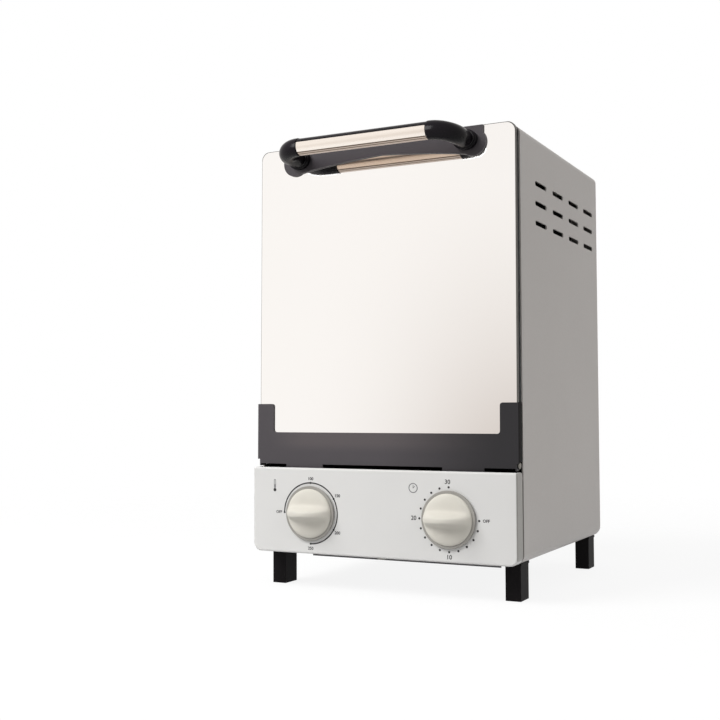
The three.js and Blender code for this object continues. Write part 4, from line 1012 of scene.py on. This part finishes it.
def capMesh():
    k = knob
    edge = knobFace - k["wall"]
    rings = [[knobPoint(a, b, depth) for a, b in circle(radius, k["sides"])]
             for radius, depth in ((k["radius"] - k["draft"], knobFace + k["wall"]),
                                   (k["radius"], edge))]
    for i in reversed(range(1, k["rings"])):
        ring = circle(k["radius"] * math.sin(math.radians(90 * i / k["rings"])), k["sides"])
        rings.append([knobPoint(a, b, edge - knobRise(a, b)) for a, b in ring])
    cap = cupped(rings)
    tip = cap.verts.new((0, edge - knobRise(0, 0), 0))
    cap.verts.ensure_lookup_table()
    last = cap.verts[-1 - k["sides"]:-1]
    for j, here in enumerate(last):
        cap.faces.new((here, tip, last[(j + 1) % k["sides"]]))
    bmesh.ops.recalc_face_normals(cap, faces=cap.faces)
    return meshOf(cap, "cap")


def skirtMesh():
    k = knob
    outer = k["radius"] + k["rim"]
    profile = ((outer - 0.3, -k["stand"]), (outer, -k["stand"] - 0.3), (outer, knobFace + 0.5),
               (outer - 0.2, knobFace + 0.15), (outer - 0.6, knobFace))
    return meshOf(loft([atDepth(circle(radius, k["skirtSides"]), depth)
                        for radius, depth in profile]), "skirt")


def makeKnob(node, x):
    place = cabinetPlace @ Matrix.Translation((x, 0, dials["height"]))
    makePiece(node + "_cap", capMesh(), place, node, "knob_plastic", [node])
    makePiece(node + "_skirt", skirtMesh(), place, node, "knob_plastic", finish="knob_skirt")


for node, x in dials["places"].items():
    makeKnob(node, x)
print("knobs made")

# Printed marks: scale lines, dots, numbers and two small signs
marks = {"radius": 22.4, "proud": 0.06, "sunk": 0.02, "dot": 0.8, "line": 0.95, "bold": 0.07}

# Each word has its text, its angle, its distance from the shaft and its height.
dialWords = {
    "temperature_knob": [("OFF", 180, 27.2, 2.9), ("100", 90, 25.4, 3.1), ("150", 31, 26.2, 3.1),
                         ("200", -31, 26.2, 3.1), ("250", -90, 25.8, 3.1)],
    "timer_knob": [("OFF", 0, 27.6, 2.9), ("10", -90, 26, 4.3), ("20", 180, 26.8, 4.3),
                   ("30", 92, 26, 4.3)]}
thermometer = {"x": -86.1, "bulbZ": 72.9, "bulb": 1.25, "threadLow": 74, "threadHigh": 77,
               "thread": 0.2, "glassLow": 74.2, "glassHigh": 80, "glass": 0.6, "line": 0.4,
               "steps": 12}
clock = {"x": 28.1, "z": 77.5, "radius": 3.2, "line": 0.6, "hand": 0.45, "tail": 0.2,
         "longHand": 2, "shortHand": 1.3, "steps": 24}


def inkPrism(outline):
    return meshOf(prism(outline, -marks["proud"], marks["sunk"]), "mark")


def dialDots(name, x, count, start, sweep):
    dot = scratchObject(inkPrism(circle(marks["dot"])))
    mesh = grownFrom(bpy.data.meshes.new("seed"), dotsOnArc, {
        "Count": count, "Arc Radius": marks["radius"], "Start": math.radians(start),
        "Sweep": math.radians(sweep), "Middle": (x, 0.0, dials["height"]), "Dot": dot,
        "Finish": finishes["dial_ink"]})
    dropScratch(dot)
    makePiece(name, mesh, cabinetPlace, "cabinet", "panel_paint", finish="dial_ink")


def band(outline, width):
    outer, inner = [], []
    for i, (a, b) in enumerate(outline):
        ahead = outline[min(i + 1, len(outline) - 1)]
        behind = outline[max(i - 1, 0)]
        along = Vector((ahead[0] - behind[0], ahead[1] - behind[1])).normalized()
        outer.append((a + along.y * width / 2, b - along.x * width / 2))
        inner.append((a - along.y * width / 2, b + along.x * width / 2))
    return outer + list(reversed(inner))


def inkPiece(name, outlines, finish="dial_ink"):
    mesh = gathered([inkPrism(outline) for outline in outlines], name)
    makePiece(name, mesh, cabinetPlace, "cabinet", "panel_paint", finish=finish)


def written(text, place, size):
    curve = bpy.data.curves.new("number", "FONT")
    curve.body = text
    curve.size = size
    curve.align_x = "CENTER"
    curve.align_y = "CENTER"
    curve.extrude = marks["proud"] / 2
    curve.offset = marks["bold"]
    curve.resolution_u = 4
    made = scratchObject(curve)
    mesh = evaluatedMesh(made)
    dropScratch(made)
    mesh.transform(Matrix.Translation((place[0], (marks["sunk"] - marks["proud"]) / 2, place[1]))
                   @ Matrix.Rotation(math.pi / 2, 4, "X"))
    return mesh


def makeDials():
    m = marks
    left, right = [(x, dials["height"]) for x in dials["places"].values()]
    scale = arc(left, m["radius"], 180, -90, 90)
    offDot = circle(m["dot"], centre=onCircle(left, m["radius"], 180))
    inkPiece("temperature_scale_line", [band(scale, m["line"]), offDot])
    dialDots("temperature_dots", left[0], 4, -90, 180)
    dialDots("timer_dots", right[0], 16, 0, -270)
    words = [written(word, onCircle((dials["places"][node], dials["height"]), reach, angle), size)
             for node, entries in dialWords.items() for word, angle, reach, size in entries]
    makePiece("dial_numbers", gathered(words, "numbers"), cabinetPlace, "cabinet", "panel_paint",
              finish="dial_ink")


def makeSigns():
    t, c = thermometer, clock
    x = t["x"]
    left, right = x - t["thread"], x + t["thread"]
    inkPiece("thermometer_bulb", [
        circle(t["bulb"], centre=(x, t["bulbZ"])),
        [(left, t["threadLow"]), (right, t["threadLow"]), (right, t["threadHigh"]),
         (left, t["threadHigh"])]])
    glass = arc((x, t["glassHigh"]), t["glass"], 0, 180, t["steps"])
    foot = (x - t["glass"], t["glassLow"])
    wall = [(x + t["glass"], t["glassLow"]), glass[0]]
    inkPiece("thermometer_stem", [band(glass + [foot], t["line"]), band(wall, t["line"])],
             "dial_ink_grey")
    x, z = c["x"], c["z"]
    inkPiece("clock_sign", [
        band(arc((x, z), c["radius"], 0, 180, c["steps"]), c["line"]),
        band(arc((x, z), c["radius"], 180, 360, c["steps"]), c["line"]),
        band([(x, z - c["tail"]), (x, z + c["longHand"])], c["hand"]),
        band([(x, z), (x + c["shortHand"], z + c["shortHand"])], c["hand"])], "dial_ink_grey")


makeDials()
makeSigns()
print("dial marks made")

# Screws: where each set sits, and a pan head over its shank
screws = {"radius": 3.2, "height": 1.7, "shank": 1.5, "length": 7, "slot": 0.75, "recess": 0.7,
          "recessShare": 0.6, "recessAngle": 20, "tip": 0.5, "flangeEdge": 9.5, "rearLift": 7,
          "footX": 94.45, "footDepths": (28.5, 200.2), "footHeight": 28.5, "footLength": 13.7,
          "panelDepth": 6.55, "handleDepth": 11.1, "handleHeight": 1.5, "handleShank": 2.0,
          "handleLength": 17.5}


def panScrew(height=screws["height"], shank=screws["shank"], length=screws["length"]):
    s = screws
    radius = s["radius"]
    profile = ((shank - s["tip"], -length), (shank, -length + s["tip"]), (shank, 0), (radius, 0),
               (radius, height * 0.35), (radius * 0.92, height * 0.7),
               (radius * 0.75, height * 0.92), (radius * 0.4, height))
    head = meshOf(loft([atHeight(circle(wide), z) for wide, z in profile]), "screw")
    reach, half = radius * s["recessShare"], s["slot"] / 2
    bars = []
    for turn in (0, 90):
        outline = [(-reach, -half), (reach, -half), (reach, half), (-reach, half)]
        bar = meshOf(prism(outline, height - s["recess"], height + 1, atHeight), "recess")
        bar.transform(Matrix.Rotation(math.radians(turn + s["recessAngle"]), 4, "Z"))
        bars.append(bar)
    return joined(head, bars, "DIFFERENCE")


def setScrews(name, shape, turn, points, nodes, place=cabinetPlace, body="cabinet", finish=None):
    shape.transform(turn)
    model = scratchObject(shape)
    seed = bpy.data.meshes.new("screw points")
    seed.from_pydata(points, [], [])
    mesh = grownFrom(seed, fastenersOnPoints, {"Fastener": model, "Size": 1.0,
                                               "Finish": finishes["zinc_steel"]})
    dropScratch(model)
    makePiece(name, mesh, place, body, "zinc_steel", nodes, finish)


def makeScrews():
    s = screws
    backwards = Matrix.Rotation(-math.pi / 2, 4, "X")
    rearX = shell["width"] / 2 - s["flangeEdge"]
    rearLow = shell["low"] + s["flangeEdge"] + s["rearLift"]
    rearHigh = shell["top"] - s["flangeEdge"] - s["rearLift"]
    setScrews("rear_screws", panScrew(), backwards,
              [(x, rearPanel["back"], z) for x in (-rearX, rearX) for z in (rearLow, rearHigh)],
              ["rear_screw_" + a + "_" + b for a in ("lower", "upper") for b in ("left", "right")])
    setScrews("foot_screws", panScrew(length=s["footLength"]), Matrix.Identity(4),
              [(x, y, s["footHeight"]) for x in (-s["footX"], s["footX"]) for y in s["footDepths"]],
              ["foot_screw_" + a + "_" + b for a in ("front", "rear") for b in ("left", "right")])
    setScrews("panel_underside_screw", panScrew(), Matrix.Rotation(math.pi, 4, "X"),
              [(0, s["panelDepth"], panel["low"])], ["panel_screw"], finish="pin_steel")
    setScrews("handle_screws",
              panScrew(s["handleHeight"], s["handleShank"], s["handleLength"]), backwards,
              [(x, s["handleDepth"], handle["legHeight"]) for x in (-handle["legX"], handle["legX"])],
              ["handle_screw_left", "handle_screw_right"], doorPlace, "door")


makeScrews()
print("screws made")

# Hinge pins and their springs
pins = {"radius": 1.5, "head": 2.4, "tip": 90.7, "face": 103.3, "thick": 1.1,
        "coil": 2.35, "wire": 0.42, "turns": 6.5, "start": 92.9, "end": 99.1}


def makeHinge():
    p = pins
    centre = (hinge["depth"], hinge["height"])
    profile = ((p["radius"] - 0.4, p["tip"]), (p["radius"], p["tip"] + 0.4),
               (p["radius"], p["face"]), (p["head"], p["face"]),
               (p["head"], p["face"] + p["thick"] * 0.5),
               (p["head"] * 0.8, p["face"] + p["thick"] * 0.9),
               (p["head"] * 0.4, p["face"] + p["thick"]))
    for sign, name in ((-1, "left"), (1, "right")):
        rings = [atSide(circle(radius, centre=centre), sign * x) for radius, x in profile]
        makePiece("pin_" + name, meshOf(loft(rings), "pin"), cabinetPlace, "cabinet", "zinc_steel",
                  ["hinge_pin_" + name], "pin_steel")
        start = p["start"] if sign > 0 else -p["end"]
        coil = grownFrom(bpy.data.meshes.new("seed"), springCoil, {
            "Turns": p["turns"], "Coil Radius": p["coil"], "Wire Radius": p["wire"],
            "Coil Length": p["end"] - p["start"] - p["wire"] * 2,
            "Middle": (start + p["wire"], *centre), "Finish": finishes["zinc_steel"]})
        makePiece("spring_" + name, coil, cabinetPlace, "cabinet", "zinc_steel",
                  ["hinge_spring_" + name])


makeHinge()

# Trays: pressed sheet with a rounded foot, an upright rim and slots
trays = {"side": 86.2, "front": 20, "back": 182, "corner": 6, "rim": 12, "wall": 1, "bend": 1.6,
         "floors": {"tray_lower": 136, "tray_middle": 194, "tray_upper": 252}, "slotWidth": 6,
         "slots": 6, "slotMargin": 18, "steps": 6}


def makeTray(node, floor):
    t = trays
    rings = []
    for inset, rise in bendSteps(t["bend"], t["steps"]) + [(0, t["rim"])]:
        outline = roundedOutline(-t["side"] + inset, t["front"] + inset, t["side"] - inset,
                                 t["back"] - inset, (t["corner"] - inset,) * 4)
        rings.append(atHeight(outline, floor + rise))
    skin = cupped(rings)
    bmesh.ops.recalc_face_normals(skin, faces=skin.faces)
    low = [face for face in skin.faces if abs(face.calc_center_median().z - floor) < 0.01]
    if low and low[0].normal.z > 0:
        bmesh.ops.reverse_faces(skin, faces=skin.faces)
    mesh = thickened(meshOf(skin, "tray skin"), t["wall"])
    run = t["side"] * 2 - t["slotMargin"] * 2
    length = t["back"] - t["front"] - t["slotMargin"] * 2
    reach = t["wall"] + cutOverrun
    slot = prism(slotOutline(t["slotWidth"], length), -reach, reach, atHeight)
    middle = (0.0, (t["front"] + t["back"]) / 2, float(floor))
    mesh = cutSlots(mesh, slot, (t["slots"], 1), (run / t["slots"], 0), middle, flatTurn,
                    "stainless")
    makePiece(node + "_sheet", mesh, cabinetPlace, node, "stainless", [node])


for node, floor in trays["floors"].items():
    makeTray(node, floor)
print("trays made")

# Heaters: one sheathed rod bent into a U for each level
heaters = {"levels": {"heater_bottom": 116, "heater_top": 305}, "radius": 3.2, "reach": 96,
           "straight": 10, "loop": -76, "bend": 18, "bendSteps": 12, "front": 60, "rear": 140,
           "sides": 20, "stud": 1.6, "studLength": 4, "studRoot": 2, "studTip": 0.3,
           "studSides": 14}


def makeHeater(node, level):
    h = heaters
    turnX = h["loop"] + h["bend"]
    outline = ([(h["reach"], h["front"]), (h["straight"], h["front"])]
               + arc((turnX, h["front"] + h["bend"]), h["bend"], 270, 180, h["bendSteps"])
               + arc((turnX, h["rear"] - h["bend"]), h["bend"], 180, 90, h["bendSteps"])
               + [(h["straight"], h["rear"]), (h["reach"], h["rear"])])
    points = [Vector(point) for point in atHeight(outline, level)]
    rod = tubeMesh(points, [h["radius"]] * len(points), h["sides"])
    end = h["reach"] + h["studLength"]
    radii = [h["stud"], h["stud"], h["stud"] - h["studTip"]]
    studs = [tubeMesh([Vector((x, y, level)) for x in (h["reach"] - h["studRoot"],
                                                       end - h["studTip"], end)],
                      radii, h["studSides"]) for y in (h["front"], h["rear"])]
    makePiece(node + "_rod", joined(rod, studs), cabinetPlace, "cabinet", "stainless", [node])


for node, level in heaters["levels"].items():
    makeHeater(node, level)
print("heaters made")

# Solids that are shown as they are get the same finishes
slotOf = {row["node"]: row["material_slot"] for row in frame["record"]["subparts"]}
kept = 0
for name, made in frame["nodes"].items():
    if made.hide_render:
        continue
    finish = finishes[slotOf[name]]
    if not made.material_slots:
        made.data.materials.append(finish)
    for entry in made.material_slots:
        entry.material = finish
    kept += 1
print("solids shown as they are:", kept)

# Stage, light and camera
stage = {"floorRadius": 3.0, "floorGap": 0.0002, "floorTone": (196, 196, 196),
         "floorRoughness": 0.9, "fadeStart": 0.25, "fadeEnd": 0.9, "shadowShare": 0.12,
         "ambient": 0.33, "underside": 0.1, "skyLow": -0.3, "skyHigh": 0.2, "white": 1.0,
         "aim": (0, 0, 0.15)}


# One for rays that come from the camera, a mirror or glass, otherwise zero.
def seenRays(tree):
    path = tree.nodes.new("ShaderNodeLightPath")
    rays = path.outputs["Is Camera Ray"]
    for label in ("Is Glossy Ray", "Is Transmission Ray"):
        rays = combined(tree, "MAXIMUM", rays, path.outputs[label])
    return rays, path.outputs["Is Glossy Ray"]


def mixShaders(tree, share, first, second):
    mix = tree.nodes.new("ShaderNodeMixShader")
    if isinstance(share, float):
        mix.inputs[0].default_value = share
    else:
        tree.links.new(share, mix.inputs[0])
    tree.links.new(first, mix.inputs[1])
    tree.links.new(second, mix.inputs[2])
    return mix.outputs[0]


# What shiny faces see: white to the left, a little darker and warmer to the right and low down
mirrored = {"right": -0.32, "left": -0.56, "end": 0.15, "low": -0.05, "high": 0.22,
            "highShare": 0.25, "pale": (254, 251, 248), "deep": (206, 196, 189), "power": 2.0}


def makeWorld():
    world = bpy.data.worlds.new("studio")
    scene.world = world
    world.use_nodes = True
    tree = world.node_tree
    plain = tree.nodes["Background"]
    plain.inputs["Color"].default_value = (1, 1, 1, 1)
    where = tree.nodes.new("ShaderNodeSeparateXYZ")
    tree.links.new(tree.nodes.new("ShaderNodeTexCoord").outputs["Generated"],
                   where.inputs["Vector"])
    tree.links.new(spread(tree, where.outputs["Z"], stage["underside"], stage["ambient"],
                          stage["skyLow"], stage["skyHigh"]), plain.inputs["Strength"])
    m = mirrored
    aside = spread(tree, where.outputs["X"], 0, 1, m["left"], m["right"])
    beyond = spread(tree, where.outputs["X"], 1, 0, m["right"], m["end"])
    for field in (aside, beyond):
        field.node.interpolation_type = "SMOOTHSTEP"
    below = spread(tree, where.outputs["Z"], 1, m["highShare"], m["low"], m["high"])
    across = combined(tree, "MULTIPLY", aside, beyond)
    corner = combined(tree, "POWER", combined(tree, "MULTIPLY", across, below), m["power"])
    shade = tintBetween(tree, corner, m["pale"], m["deep"])
    seen = []
    for colour in (None, shade):
        background = addNode(tree, "ShaderNodeBackground", {"Color": (1, 1, 1, 1),
                                                            "Strength": stage["white"]})
        if colour:
            tree.links.new(colour, background.inputs["Color"])
        seen.append(background.outputs[0])
    rays, glossy = seenRays(tree)
    shown = mixShaders(tree, glossy, *seen)
    out = tree.nodes["World Output"]
    tree.links.new(mixShaders(tree, rays, plain.outputs[0], shown), out.inputs["Surface"])


# White to the eye but for the object's shadow, clear far out and from below.
def makeFloor():
    shape = bmesh.new()
    bmesh.ops.create_circle(shape, cap_ends=True, segments=96, radius=stage["floorRadius"])
    bmesh.ops.translate(shape, verts=shape.verts, vec=(0, 0, -stage["floorGap"]))
    floor = scratchObject(meshOf(shape, "studio_floor"))
    material, tree, shader, where = startFinish("floor", stage["floorRoughness"])
    shader.inputs["Base Color"].default_value = srgb(stage["floorTone"])
    white = addNode(tree, "ShaderNodeEmission", {"Strength": stage["white"]})
    chalk = addNode(tree, "ShaderNodeBsdfDiffuse", {"Color": (1, 1, 1, 1)})
    pale = mixShaders(tree, stage["shadowShare"], white.outputs[0], chalk.outputs[0])
    lit = mixShaders(tree, seenRays(tree)[0], shader.outputs[0], pale)
    clear = tree.nodes.new("ShaderNodeBsdfTransparent")
    length = tree.nodes.new("ShaderNodeVectorMath")
    length.operation = "LENGTH"
    tree.links.new(where, length.inputs[0])
    fade = spread(tree, length.outputs["Value"], 0, 1, stage["fadeStart"], stage["fadeEnd"])
    under = tree.nodes.new("ShaderNodeNewGeometry").outputs["Backfacing"]
    gone = combined(tree, "MAXIMUM", fade, under)
    tree.links.new(mixShaders(tree, gone, lit, clear.outputs[0]),
                   tree.nodes["Material Output"].inputs["Surface"])
    floor.data.materials.append(material)


# Each has its name, place, size, power and the pieces it lights, or all. The glint lights the
# black grip and its feet alone, so that its bends shine and the mirror stays plain.
lamps = [
    ("key", (-0.75, -1.0, 1.15), 0.9, 25, ()),
    ("fill", (1.9, -0.6, 1.2), 1.6, 10, ()),
    ("rear", (-0.4, 2.0, 1.3), 1.6, 12, ()),
    ("glint", (-0.36, -1.0, 0.62), 0.7, 16, ("grip_bar", "handle_base_left", "handle_base_right")),
]


def makeLamps():
    for name, place, size, power, lit in lamps:
        data = bpy.data.lights.new(name, "AREA")
        data.size = size
        data.energy = power
        lamp = bpy.data.objects.new(name, data)
        lamp.location = place
        lamp.visible_glossy = bool(lit)
        if lit:
            shone = bpy.data.collections.new(name + " pieces")
            for piece in lit:
                shone.objects.link(scene.objects[piece])
            lamp.light_linking.receiver_collection = shone
        aim = Vector(stage["aim"]) - Vector(place)
        lamp.rotation_euler = aim.to_track_quat("-Z", "Y").to_euler()
        scene.collection.objects.link(lamp)


view = {"place": (0.34904, -0.80155, 0.13337), "yaw": 0.4754, "pitch": 0.0448, "roll": -0.0039,
        "focal": 1091.2159, "pixels": 720, "sensor": 36}


def makeCamera():
    v = view
    ahead = Vector((-math.sin(v["yaw"]) * math.cos(v["pitch"]),
                    math.cos(v["yaw"]) * math.cos(v["pitch"]), math.sin(v["pitch"])))
    across = Vector((math.cos(v["yaw"]), math.sin(v["yaw"]), 0))
    up = across.cross(ahead)
    right = across * math.cos(v["roll"]) + up * math.sin(v["roll"])
    rise = up * math.cos(v["roll"]) - across * math.sin(v["roll"])
    turn = Matrix((right, rise, -ahead)).transposed()
    data = bpy.data.cameras.new("photo camera")
    data.sensor_width = v["sensor"]
    data.lens = v["focal"] / v["pixels"] * v["sensor"]
    data.clip_start = 0.01
    camera = bpy.data.objects.new("photo camera", data)
    camera.matrix_world = Matrix.Translation(v["place"]) @ turn.to_4x4()
    scene.collection.objects.link(camera)
    scene.camera = camera


makeWorld()
makeFloor()
makeLamps()
makeCamera()
print("stage made")
